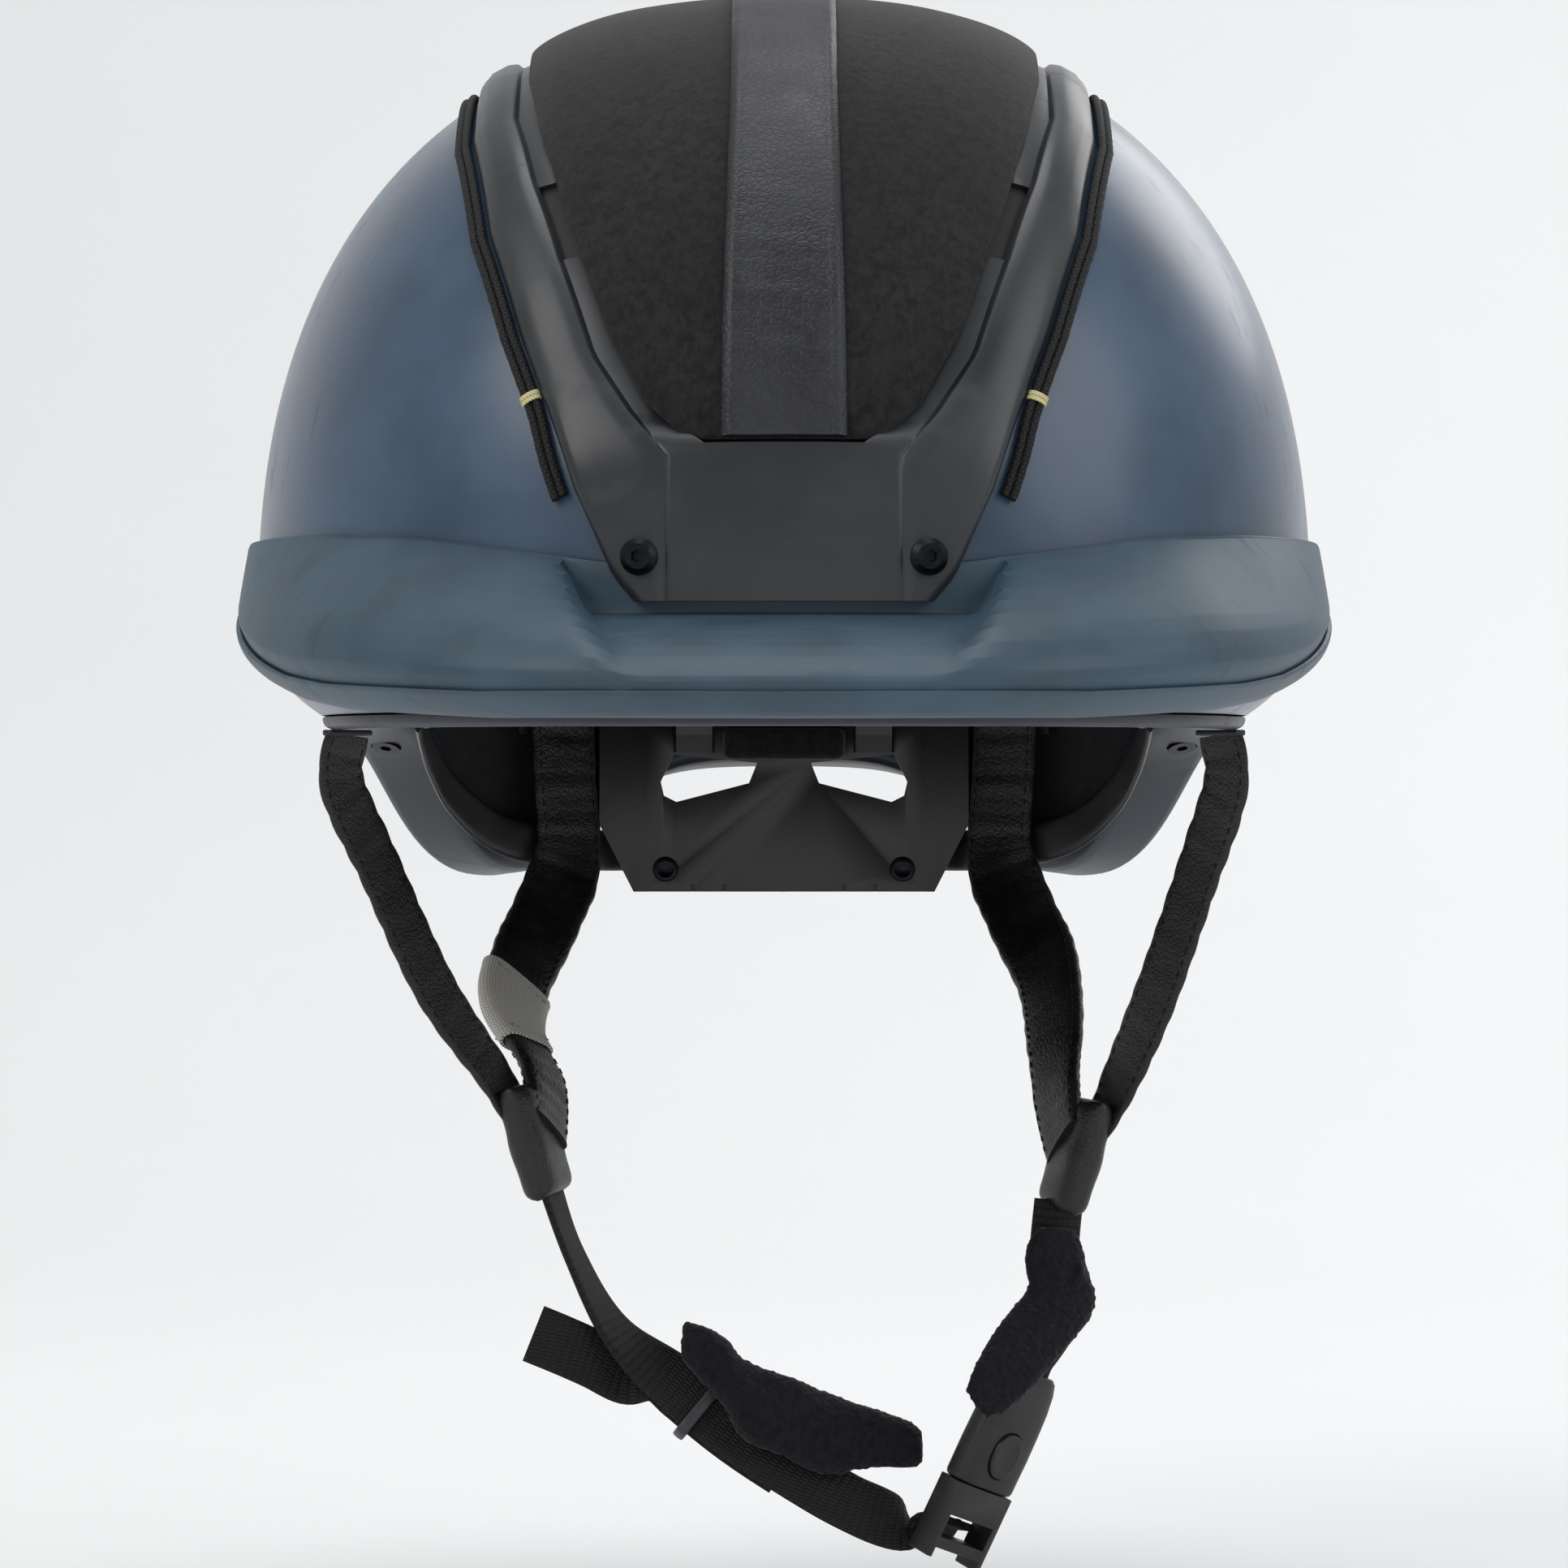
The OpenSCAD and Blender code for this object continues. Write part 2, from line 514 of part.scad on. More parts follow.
// Pad between two azimuths and two heights, lying on the liner's inner face
module wall_pad(az_a, az_b, z_low, z_high, t, stand = 0) {
    n = 14;
    m = 4;
    skin = function(d) [for (i = [0:n]) let (a = mix(az_a, az_b, i / n))
        [for (j = [0:m]) let (z = mix(z_low + edge_z(a), z_high, j / m), f = 2 * j / m - 1,
            g = 2 * i / n - 1, soft = 1 - 0.5 * pow(abs(f), 4) - 0.3 * pow(abs(g), 8))
            at(a, inner_r(a, z, liner_in - soft_gap) - stand - d * t * soft, z)]];
    grid_solid(skin(1), skin(0), [for (i = [1:n]) [for (j = [1:m]) true]]);
}

pad_t = 5;
pad_clear = 1.5 + 3 * soft_gap;
module brow_pad() color("#1b1a20") wall_pad(-56, 56, 3, 40, pad_t, pad_clear);
module side_pad_right() color("#1b1a20") wall_pad(62, 116, 9, 42, pad_t);
module side_pad_left() color("#1b1a20") wall_pad(-116, -62, 9, 42, pad_t);

// A long and a cross strip of padding under the crown
module crown_pad() color("#1b1a20") {
    lift = liner_in - soft_gap;
    ths = [for (t = [60:6:132]) t];
    wide = function(t) 11 + 17 * pow(sin(180 * clamp01((t - 60) / 72)), 6);
    skin = function(d) [for (t = ths) [for (f = [-1, -0.8, 0, 0.8, 1])
        over_pt(t, f * wide(t), lift - d * pad_t * (1 - 0.5 * pow(f, 4)))]];
    grid_solid(skin(0), skin(1), [for (i = [1:len(ths) - 1]) [for (j = [1:4]) true]]);
}

// ---- Cradle, dial and headring ----

cradle_y = 94;
cradle_top = 0;
cradle_low = cradle_top - cradle_h;
cradle_back = cradle_y + cradle_t;
flat_w = 62;
wing_back = 5.5;
dial_z = -27.8;
rivet_at = [26.4, -32];
rivet_d = 6;

// Outline of one window, on the +X side: a wing with its wide end outwards
window = [[6, -8.3], [7.8, -12.8], [24, -17], [26.8, -15.6], [27.5, -12.5], [24.5, -6.4]];

module cradle_plate() color("#1d1c1e") difference() {
    translate([0, 0, cradle_low]) linear_extrude(cradle_h) polygon([
        [-cradle_w / 2, cradle_y - wing_back], [-flat_w / 2, cradle_y], [flat_w / 2, cradle_y],
        [cradle_w / 2, cradle_y - wing_back], [cradle_w / 2, cradle_back - wing_back],
        [flat_w / 2, cradle_back], [-flat_w / 2, cradle_back],
        [-cradle_w / 2, cradle_back - wing_back]]);
    for (s = [0, 1]) mirror([s, 0, 0]) {
        translate([0, cradle_back + 1, 0]) rotate([90, 0, 0]) linear_extrude(cradle_t + 8) {
            polygon(window);
            polygon([[cradle_w / 2 + 1, cradle_low + 17], [cradle_w / 2 - 8, cradle_low - 1],
                [cradle_w / 2 + 1, cradle_low - 1]]);
        }
        for (x = [13, 20]) translate([x, cradle_y - 0.4, cradle_low]) cube([0.6, 1, 1.6]);
    }
    cradle_rivet_places() translate([0, 0, -8]) cylinder(h = 16, d = 3.1, $fn = round_fn);
    housing_screw_places() translate([0, 0, -6]) cylinder(h = 12, d = 2.1, $fn = round_fn);
}

module cradle_rivet_places() for (s = [-1, 1])
    translate([s * rivet_at[0], cradle_y, rivet_at[1]]) rotate([90, 0, 0]) children();

// Hollow rivets join the plate to the nape pad's carrier
module cradle_rivets() color("#26262a") cradle_rivet_places() difference() {
    union() {
        translate([0, 0, 0.05]) cylinder(h = 1, d = rivet_d, $fn = round_fn);
        translate([0, 0, 1.05]) cylinder(h = 0.5, d1 = rivet_d, d2 = rivet_d - 1.6, $fn = round_fn);
        translate([0, 0, -cradle_t - 0.2]) cylinder(h = cradle_t + 0.5, d = 3, $fn = round_fn);
    }
    translate([0, 0, -1]) cylinder(h = 5, d = 1.4, $fn = round_fn);
}

// Flexible hangers from the plate up to the liner
hanger_x = 20;
hanger_w = 9;
module cradle_hangers() color("#1d1c1e") for (s = [0, 1]) mirror([s, 0, 0]) {
    hanger_t = 1.4;
    front = cradle_y - hanger_t / 2 - 0.15;
    wall_y = function(z) shell_y - hanger_t / 2 - soft_gap
        + sqrt(pow(inner_r(168, z, liner_in), 2) - pow(hanger_x + hanger_w / 2, 2));
    path = curve([[hanger_x, front, -6], [hanger_x, front, -2], [hanger_x, front, 2],
        [hanger_x, wall_y(14) - 3, 10],
        [hanger_x, wall_y(18), 18], [hanger_x, wall_y(28), 28]], 3);
    sweep(path, [for (q = path) [1, 0, 0]], band_outline(hanger_w, 1.4));
}

nape_w = 28;
module nape_pad() color("#1b1a20") translate([0, 0, -7.5]) linear_extrude(7)
    polygon([[-nape_w / 2, cradle_y - soft_gap], [-nape_w / 2 + 1, cradle_y - 4.5],
        [nape_w / 2 - 1, cradle_y - 4.5], [nape_w / 2, cradle_y - soft_gap]]);

// The housing holds two racks above and below one pinion
house_half_w = 21.5;
house_wall = 1.4;
rack_back = 6.4;
cave_half_h = rack_back + 0.3;
house_half_h = cave_half_h + house_wall;
house_y = cradle_back + 0.1;
gear_y = house_y + house_wall + 0.3;
gear_t = 4;
house_t = 2 * house_wall + gear_t + 0.6;
axle_r = 3;

module dial_housing() color("#242427") difference() {
    translate([-house_half_w, house_y, dial_z - house_half_h])
        cube([2 * house_half_w, house_t, 2 * house_half_h]);
    translate([-house_half_w - 1, house_y + house_wall, dial_z - cave_half_h])
        cube([2 * house_half_w + 2, gear_t + 0.6, 2 * cave_half_h]);
    translate([0, house_y + house_t + 1, dial_z]) rotate([90, 0, 0])
        cylinder(h = house_wall + 1.2, r = axle_r + axle_gap, $fn = round_fn);
    housing_screw_places() translate([0, 0, -6]) cylinder(h = 20, d = 2.1, $fn = round_fn);
}

// Small screws through the housing, between the racks
module housing_screw_places() for (x = [-17, 17])
    translate([x, house_y + house_t, dial_z]) rotate([-90, 0, 0]) children();
module housing_screws() color("#202024") housing_screw_places() difference() {
    union() {
        translate([0, 0, 0.05]) cylinder(h = 1.3, d = 4, $fn = round_fn);
        translate([0, 0, -house_wall - 0.2]) cylinder(h = house_wall + 0.4, d = 2, $fn = round_fn);
    }
    translate([0, 0, 0.6]) cylinder(h = 2, d = 1.6, $fn = 6);
}

knob_y = house_y + house_t + 0.3;
module dial_knob() color("#2a2a2d") translate([0, knob_y, dial_z]) rotate([-90, 0, 0])
difference() {
    union() {
        cylinder(h = knob_t - 1, d = knob_d, $fn = 96);
        translate([0, 0, knob_t - 1]) cylinder(h = 1, d1 = knob_d, d2 = knob_d - 2, $fn = 96);
        translate([0, 0, gear_y + gear_t + 0.2 - knob_y])
            cylinder(h = knob_y - gear_y - gear_t, r = axle_r, $fn = round_fn);
        translate([0, 0, gear_y - knob_y]) cylinder(h = gear_t + 0.4, r = 1.8, $fn = round_fn);
    }
    for (i = [0:17]) rotate(i * 20) translate([knob_d / 2 + 0.45, 0, -1])
        cylinder(h = knob_t + 2, r = 1.1, $fn = 16);
    translate([0, 0, knob_t - 1.2]) cylinder(h = 2, d = knob_d * 0.55, $fn = round_fn);
}

// Straight-sided teeth; the racks' teeth have the same pitch as the pinion's
teeth = 8;
pitch = 2 * PI * pinion_r / teeth;
tooth_h = 0.8;
module tooth(base, w) polygon([[-w / 2 - 0.35, base - 0.2], [w / 2 + 0.35, base - 0.2],
    [w / 2 - 0.3, base + 1.6 * tooth_h], [-w / 2 + 0.3, base + 1.6 * tooth_h]]);

module dial_pinion() color("#d8d4c8") translate([0, gear_y, dial_z]) rotate([-90, 0, 0])
difference() {
    linear_extrude(gear_t) {
        circle(r = pinion_r - tooth_h, $fn = round_fn);
        for (i = [0:teeth - 1]) rotate(i * 360 / teeth) tooth(pinion_r - tooth_h, pitch * 0.34);
    }
    translate([0, 0, -1]) cylinder(h = gear_t + 2, r = 1.8 + axle_gap, $fn = round_fn);
}

// Travel of each rack either way
rack_travel = 7.5;
rack_in = 14;
// One rack, with its teeth facing the pinion; its far end hooks the headring band
rack_tail = house_half_w + rack_travel + 2.5;
rack_root = pinion_r + tooth_h + 0.25;
rack_tooth = pitch * 0.17;
rack_first = 0.5 - floor((rack_in - 1.5) / pitch);
rack_last = house_half_w / pitch - 2.6;
rack_outline = concat([[rack_tail, rack_back], [-rack_in, rack_back], [-rack_in, rack_root]],
    [for (i = [rack_first:1:rack_last]) each [
        [i * pitch - rack_tooth - 0.35, rack_root],
        [i * pitch - rack_tooth + 0.3, rack_root - 1.6 * tooth_h],
        [i * pitch + rack_tooth - 0.3, rack_root - 1.6 * tooth_h],
        [i * pitch + rack_tooth + 0.35, rack_root]]],
    [[rack_tail, rack_root]]);

module rack() translate([0, gear_y, dial_z]) difference() {
    rotate([90, 0, 0]) translate([0, 0, -gear_t]) linear_extrude(gear_t) polygon(rack_outline);
    translate([rack_tail - 2, gear_t / 2, -8]) cylinder(h = 20, d = 1.6, $fn = round_fn);
}
module rack_right() color("#2a2a2d") rack();
// The left rack is the right one turned half round about the dial's axis
module rack_left() color("#2a2a2d")
    translate([0, 0, dial_z]) rotate([0, 180, 0]) translate([0, 0, -dial_z]) rack();

// Flexible bands from the temples, round the lower edge, to the racks
function band_pt(az, z, stand) = at(az, inner_r(az, edge_z(az), lip_in) - stand, z);
band_stand = 1.6;
band_lines = [[78, 2], [92, -1], [106, -7], [120, -15], [134, -23]];
// The rear straps pass inside the bands here
band_inner = band_pt(146, -27, 2.3);
band_end = [house_half_w + rack_travel + 3.4, gear_y + gear_t / 2, dial_z];
module headring_band() {
    path = curve(concat([for (b = band_lines) band_pt(b[0], b[1], band_stand + band_t / 2)],
        [band_inner, band_end + [8, -7.7, 0], band_end]), 3);
    sweep(path, [for (q = path) [0, 0, 1]], band_outline(band_h, band_t));
}
module headring_right() color("#1a1a1c") headring_band();
module headring_left() color("#1a1a1c") mirror([1, 0, 0]) headring_band();

// Pins that hold the bands at the temples
module temple_pins() color("#26262a") for (s = [0, 1]) mirror([s, 0, 0]) {
    az = band_lines[0][0] + 3;
    along(band_pt(az, 1.5, band_stand + band_t), [sin(az), -cos(az), 0]) {
        translate([0, 0, -1.5]) cylinder(h = 1.2, d = 6, $fn = round_fn);
        translate([0, 0, -0.5]) cylinder(h = band_t + band_stand + 1.3, d = 2.4, $fn = round_fn);
    }
}

// ---- Harness ----

// Where the front straps leave the rim and where the straps of one side meet
exit_az = 78;
exit_pt = at(exit_az, radius_at(exit_az, edge_z(exit_az), -6), edge_z(exit_az) - rim_t);
junction_x = shell_half_w - 51;
join_l = [junction_x - 6, 8, -88];
join_r = [junction_x + 3, 8, -91];
wide_front = [0.62, 0.78, 0];
wide_rear = [0.85, -0.53, 0];

module strap_gaskets() color("#141416") for (s = [0, 1]) mirror([s, 0, 0]) translate(exit_pt) {
    rotate([0, 0, atan2(wide_front.y, -wide_front.x)]) difference() {
        translate([-front_strap_w / 2 - 1.1, -2.2, -1.2])
            cube([front_strap_w + 2.2, 4.4, 1.2 - soft_gap + 0.1]);
        translate([-front_strap_w / 2 - soft_gap, -webbing_t / 2 - soft_gap, -3])
            cube([front_strap_w + 2 * soft_gap, webbing_t + 2 * soft_gap, 6]);
    }
}

// Front straps: from the rim past the temple to the junction below the ear
wide_join = [-0.3, 0.95, 0];
out_join = [0.95, 0.3, 0];
front_turn = [-wide_front.x, wide_front.y, 0];
module front_strap(join, bow) strap([exit_pt + [0, 0, -0.95], exit_pt + [1.2, 0.5, -11],
    mix(exit_pt, join, 0.32) + [bow, 0, 0], mix(exit_pt, join, 0.62) + [bow, 0, 0],
    join + 2.3 * out_join + [6, -2.5, 13], join + 2.3 * out_join + [0, 0, 1]],
    [front_turn, front_turn, front_turn, front_turn, [-0.5, 0.86, 0], wide_join],
    front_strap_w, webbing_t);
module front_strap_right() color("#1a1a1d") front_strap(join_r, 5.5);
module front_strap_left() color("#1a1a1d") mirror([1, 0, 0]) front_strap(join_l, 6.5);

// Rear straps: padded, from beside the cradle forward and down to the junction
rear_pt = [49, 82, 2];
function rear_points(join) = [rear_pt, rear_pt + [-0.5, -1.5, -14], [47.4, 78, -29], [53, 67, -43],
    [59, 47, -52], [57, join.y + 20, join.z + 26], [min(join.x - 0.5, 57.5), join.y + 10, join.z + 14],
    join - 2 * out_join + [0, 0, 3]];
rear_wides = [wide_rear, wide_rear, [0.85, -0.5, 0], [0.82, -0.1, 0.1], [0.72, -0.3, 0.5],
    [0.68, -0.55, 0.45], [0.5, -0.8, 0.3], -wide_join];
module rear_strap(join) strap(rear_points(join), rear_wides, rear_strap_w, rear_strap_t);
module rear_strap_right() color("#1a1a1d") rear_strap(join_r);
module rear_strap_left() color("#1a1a1d") mirror([1, 0, 0]) rear_strap(join_l);

// Plates that hold the rear straps' ends against the liner
rear_out = [0.53, 0.85, 0];
module rear_strap_anchors() color("#26262a") for (s = [0, 1]) mirror([s, 0, 0]) {
    points = [for (z = [10, 4, -4]) rear_pt + rear_out * (rear_strap_t / 2 + soft_gap + 1)
        + [0, 0, z]];
    strap(points, all_wide(points, wide_rear), rear_strap_w + 3, 1.4);
}

// Woven label sewn round the left rear strap
label_t = 0.7;
module label_loop() color("#b4b2aa") {
    path = curve(rear_points(join_l), 4);
    wides = curve(rear_wides, 4);
    // One side of the sleeve, between two places on the strap
    sleeve = function(from, to) [for (i = [from:to]) path[i]];
    turns = function(from, to) [for (i = [from:to]) wides[i]];
    grown = function(g) band_outline(rear_strap_w + 2 * g, rear_strap_t + 2 * g);
    mirror([1, 0, 0]) difference() {
        sweep(sleeve(17, 22), turns(17, 22), grown(soft_gap + label_t));
        sweep(sleeve(16, 23), turns(16, 23), grown(soft_gap));
    }
}

// Sewn junctions where the front, rear and chin straps of one side come together
junction_t = 7.6;
module strap_junction(join, lean) {
    points = [join + [lean, 1, 12], join + [lean * 0.3, 0.5, 2], join + [-lean * 0.8, 0.5, -11]];
    strap(points, all_wide(points, wide_join), rear_strap_w + 2, junction_t);
}
module strap_junction_right() color("#18181b") strap_junction(join_r, 3.5);
module strap_junction_left() color("#18181b") mirror([1, 0, 0]) strap_junction(join_l, 3.5);

// Chin strap: down from the left junction, under the chin and round the tongue's bar
buckle_at = [40.2, 0, -158.7];
buckle_tilt = 25;
buckle_roll = 42;
module buckle_frame() translate(buckle_at) rotate([0, buckle_tilt, 0])
    rotate([0, 0, buckle_roll]) children();
// A point given along the buckle's own axes
function on_buckle(q) = let (c = cos(buckle_roll), s = sin(buckle_roll),
    x = q.x * c - q.y * s, y = q.x * s + q.y * c)
    buckle_at + [x * cos(buckle_tilt) + q.z * sin(buckle_tilt), y,
        -x * sin(buckle_tilt) + q.z * cos(buckle_tilt)];
buckle_wide = on_buckle([1, 0, 0]) - buckle_at;

bar_z = -13.5;
chin_wide = [0.35, 0.4, 0.85];
side_l = [0.3, 0.95, 0];
chin_points = [[-join_l.x, join_l.y, join_l.z] + [2.5, 0.5, -9], [-44, 7.5, -111], [-35, 4.5, -127],
    [-21, 2.2, -139], [-9, 1.2, -148.5], [5, 0.3, -157.5], [16, -0.5, -163.5],
    on_buckle([0, buckle_t / 2 + 4.3, bar_z - 0.5]), on_buckle([0, buckle_t / 2 + 2.4, bar_z + 2.6]),
    on_buckle([0, 1.4, bar_z + 4.4])];
chin_wides = [side_l, [0.2, 0.95, 0.15], [0.25, 0.85, 0.4], chin_wide, chin_wide, chin_wide,
    [0.6, 0.74, -0.1], buckle_wide, buckle_wide, buckle_wide];
chin_steps = 3;
chin_path = curve(chin_points, chin_steps);
chin_path_wides = curve(chin_wides, chin_steps);
module chin_strap() color("#1b1b1e") strap(chin_points, chin_wides, webbing_w, webbing_t, chin_steps);

// The keeper sits where the tail still lies against the strap
keeper_i = 10;
keeper_along = tangent(chin_path, keeper_i);
keeper_wide = square_to(chin_path_wides[keeper_i], keeper_along);
keeper_up = cross(keeper_along, keeper_wide);
tail_under = -(webbing_t + 0.8);

// Loose end of the webbing: back from the tongue under the strap, through the keeper, then free
tail_laid = [for (i = [14:-1:8]) on_strap(chin_path, chin_path_wides, i, 0, tail_under)];
tail_free = [[-33, 5.3, -136.3], [-40, 1.6, -132.5], [-46.5, -1.5, -129.3], [-52, -2, -127]];
module webbing_tail() color("#202023") {
    laid = len(tail_laid);
    free = curve(concat([tail_laid[laid - 2], tail_laid[laid - 1]], tail_free), 3);
    path = concat([for (i = [0:laid - 2]) tail_laid[i]], [for (i = [3:len(free) - 1]) free[i]]);
    sweep(path, [for (i = [0:len(path) - 1]) i < laid ? chin_path_wides[14 - i]
        : mix(chin_path_wides[8], [0.3, 0.3, 0.9], clamp01((i - laid) / 4))],
        band_outline(webbing_w, webbing_t));
}

module strap_keeper() color("#4a4a4e") {
    c = chin_path[keeper_i] + keeper_up * tail_under / 2;
    x = keeper_wide;
    y = keeper_up;
    z = keeper_along;
    hole = [webbing_w + 1.4, 2 * webbing_t + 2];
    multmatrix([[x.x, y.x, z.x, c.x], [x.y, y.y, z.y, c.y], [x.z, y.z, z.z, c.z], [0, 0, 0, 1]])
        translate([0, 0, -1.2]) linear_extrude(2.4) difference() {
            square(hole + [2.4, 2.4], center = true);
            square(hole, center = true);
        }
}

// Fleece pads lie on the chin strap's and the buckle strap's front faces
fleece_t = 4.5;
fleece_above = webbing_t / 2 + 2 * soft_gap;
// Left pad: lower and upper edges as x and z, laid on a plane that leans back over the strap
pad_low_edge = [[-22.6, -134], [-13.7, -142.8], [-9.5, -149.5], [-1, -153.4], [8.3, -156.8],
    [19.2, -155.8], [28.9, -156]];
pad_high_edge = [[-21.8, -125.1], [-12.8, -129.3], [-8.6, -133.5], [3.2, -137.9], [15, -142.1],
    [26, -146.1], [28.9, -148.2]];
pad_front = [0.1325, -0.865, 0.3525];
// The pad's end lies over the keeper
pad_rise = [2.2, 2.2, 2.2, 1.3, 0, 0, 0];
function pad_lean(p) = [p.x, -2.9 + 0.153 * (p.x + 4.6) + 0.4075 * (p.y + 155.3), p.y];
module chin_pad_left() color("#1a1920") {
    skin = function(above) [for (i = [0:len(pad_low_edge) - 1]) [for (f = [0, 0.08, 0.5, 0.92, 1])
        pad_lean(mix(pad_low_edge[i], pad_high_edge[i], f))
            + pad_front * (pad_rise[i] + above * (1 - 0.6 * pow(abs(2 * f - 1), 8)))]];
    grid_solid(skin(fleece_t), skin(0), [for (i = [2:len(pad_low_edge)]) [for (j = [1:4]) true]]);
}

buckle_strap_points = [join_r + [-3, 0.5, -9], [56.5, 8, -112], [57.5, 6.5, -122],
    on_buckle([0, 0.4, buckle_l + 4]), on_buckle([0, 0, buckle_l - 3])];
buckle_strap_wides = [[0.9, 0.42, 0], [0.9, 0.42, 0], [0.85, 0.5, -0.1], buckle_wide, buckle_wide];
buckle_strap_path = curve(buckle_strap_points, 4);
buckle_strap_path_wides = curve(buckle_strap_wides, 4);
module buckle_strap() color("#1b1b1e")
    strap(buckle_strap_points, buckle_strap_wides, webbing_w - 1, webbing_t);

side_pad_w = 14;
module chin_pad_right() color("#1a1920") {
    laid = [for (i = [2:8]) on_strap(buckle_strap_path, buckle_strap_path_wides, i, -2,
        fleece_above + fleece_t / 2 + 2 * soft_gap)];
    path = concat(laid, [[50.2, -7, -128.6], [45, -13.3, -134.7], [39.5, -18.2, -141]]);
    sweep(path, all_wide(path, [0.9, 0.42, 0]), band_outline(side_pad_w, fleece_t));
}

// Buckle: a hollow body that the tongue slides into, with one button on its face
cave_w = buckle_w - 4;
cave_t = buckle_t - 3;
cave_l = 17;
button_z = 8;
button_w = 7.6;
button_l = 10;
button_travel = 1.6;
module buckle_body() color("#242426") buckle_frame() difference() {
    union() {
        translate([-buckle_w / 2 + 2, -buckle_t / 2, 0]) cube([buckle_w - 4, buckle_t, buckle_l]);
        for (s = [-1, 1]) translate([s * (buckle_w / 2 - 2), 0, 0])
            intersection() {
                cylinder(h = buckle_l, r = buckle_t / 2, $fn = round_fn);
                translate([-2 - 2 * s + (s < 0 ? -2 : 2), -buckle_t, 0])
                    cube([4, 2 * buckle_t, buckle_l]);
            }
    }
    translate([-cave_w / 2, -cave_t / 2, -1]) cube([cave_w, cave_t, cave_l + 1]);
    translate([-(webbing_w + 0.6) / 2, -webbing_t / 2 - soft_gap, cave_l + 2])
        cube([webbing_w + 0.6, webbing_t + 2 * soft_gap, buckle_l]);
    translate([0, -buckle_t / 2 - 1, button_z]) rotate([-90, 0, 0]) button_shape(slide_gap, 3);
}

// Oval plug: two half rounds and the block between them
module button_shape(grow, h) {
    r = button_w / 2 + grow;
    run = (button_l - button_w) / 2;
    for (s = [-1, 1]) translate([0, s * run, 0]) cylinder(h = h, r = r, $fn = round_fn);
    translate([-r, -run, 0]) cube([2 * r, 2 * run, h]);
}

module release_button() color("#1e1e20") buckle_frame()
    translate([0, -buckle_t / 2 - 0.7, button_z]) rotate([-90, 0, 0]) button_shape(0, 2);

module button_spring() color("#b8b8ba") buckle_frame()
    translate([0, -buckle_t / 2 + 1.35, button_z]) rotate([-90, 0, 0]) difference() {
        cylinder(h = button_travel + 0.2, r = 2.6, $fn = round_fn);
        translate([0, 0, -1]) cylinder(h = 5, r = 2, $fn = round_fn);
    }

// Tongue: a thin blade in the body and a loop outside with the webbing's bar
module buckle_tongue() color("#242426") buckle_frame() {
    blade_w = cave_w - 2 * slide_gap;
    difference() {
        translate([-blade_w / 2, cave_t / 2 - slide_gap - 1.3, -1])
            cube([blade_w, 1.3, cave_l - 1]);
        translate([0, 0, button_z]) rotate([-90, 0, 0]) cylinder(h = 9, r = 3.2, $fn = round_fn);
    }
    difference() {
        translate([-buckle_w / 2 + 0.4, -buckle_t / 2 + 0.6, bar_z - 3.4])
            cube([buckle_w - 0.8, buckle_t - 1.2, -bar_z + 3.4 - slide_gap]);
        translate([-(webbing_w + 0.8) / 2, -buckle_t, bar_z + 1.2])
            cube([webbing_w + 0.8, 2 * buckle_t, 5]);
        translate([-(webbing_w + 0.8) / 2, -buckle_t, bar_z - 9])
            cube([webbing_w + 0.8, 2 * buckle_t, 7.8]);
    }
}

outer_shell();
bottom_shell();
eps_liner();
peak();
centre_frame();
cover_carrier();
vent_cover();
leather_strip();
frame_screws();
elastic_cord_left();
elastic_cord_right();
cord_whippings();
brow_pad();
crown_pad();
side_pad_left();
side_pad_right();
rim_screws();
strap_gaskets();
front_strap_left();
front_strap_right();
rear_strap_left();
rear_strap_right();
rear_strap_anchors();
label_loop();
strap_junction_left();
strap_junction_right();
chin_strap();
webbing_tail();
strap_keeper();
chin_pad_left();
chin_pad_right();
buckle_strap();
buckle_body();
buckle_tongue();
release_button();
button_spring();
cradle_plate();
cradle_rivets();
cradle_hangers();
nape_pad();
dial_housing();
housing_screws();
dial_knob();
dial_pinion();
rack_left();
rack_right();
headring_left();
headring_right();
temple_pins();
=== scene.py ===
"""Riding helmet: visible surfaces and finishes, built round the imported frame.

Lengths in this file are millimetres until a mesh is made, +Z up, front towards -Y.
"""
import json
import math

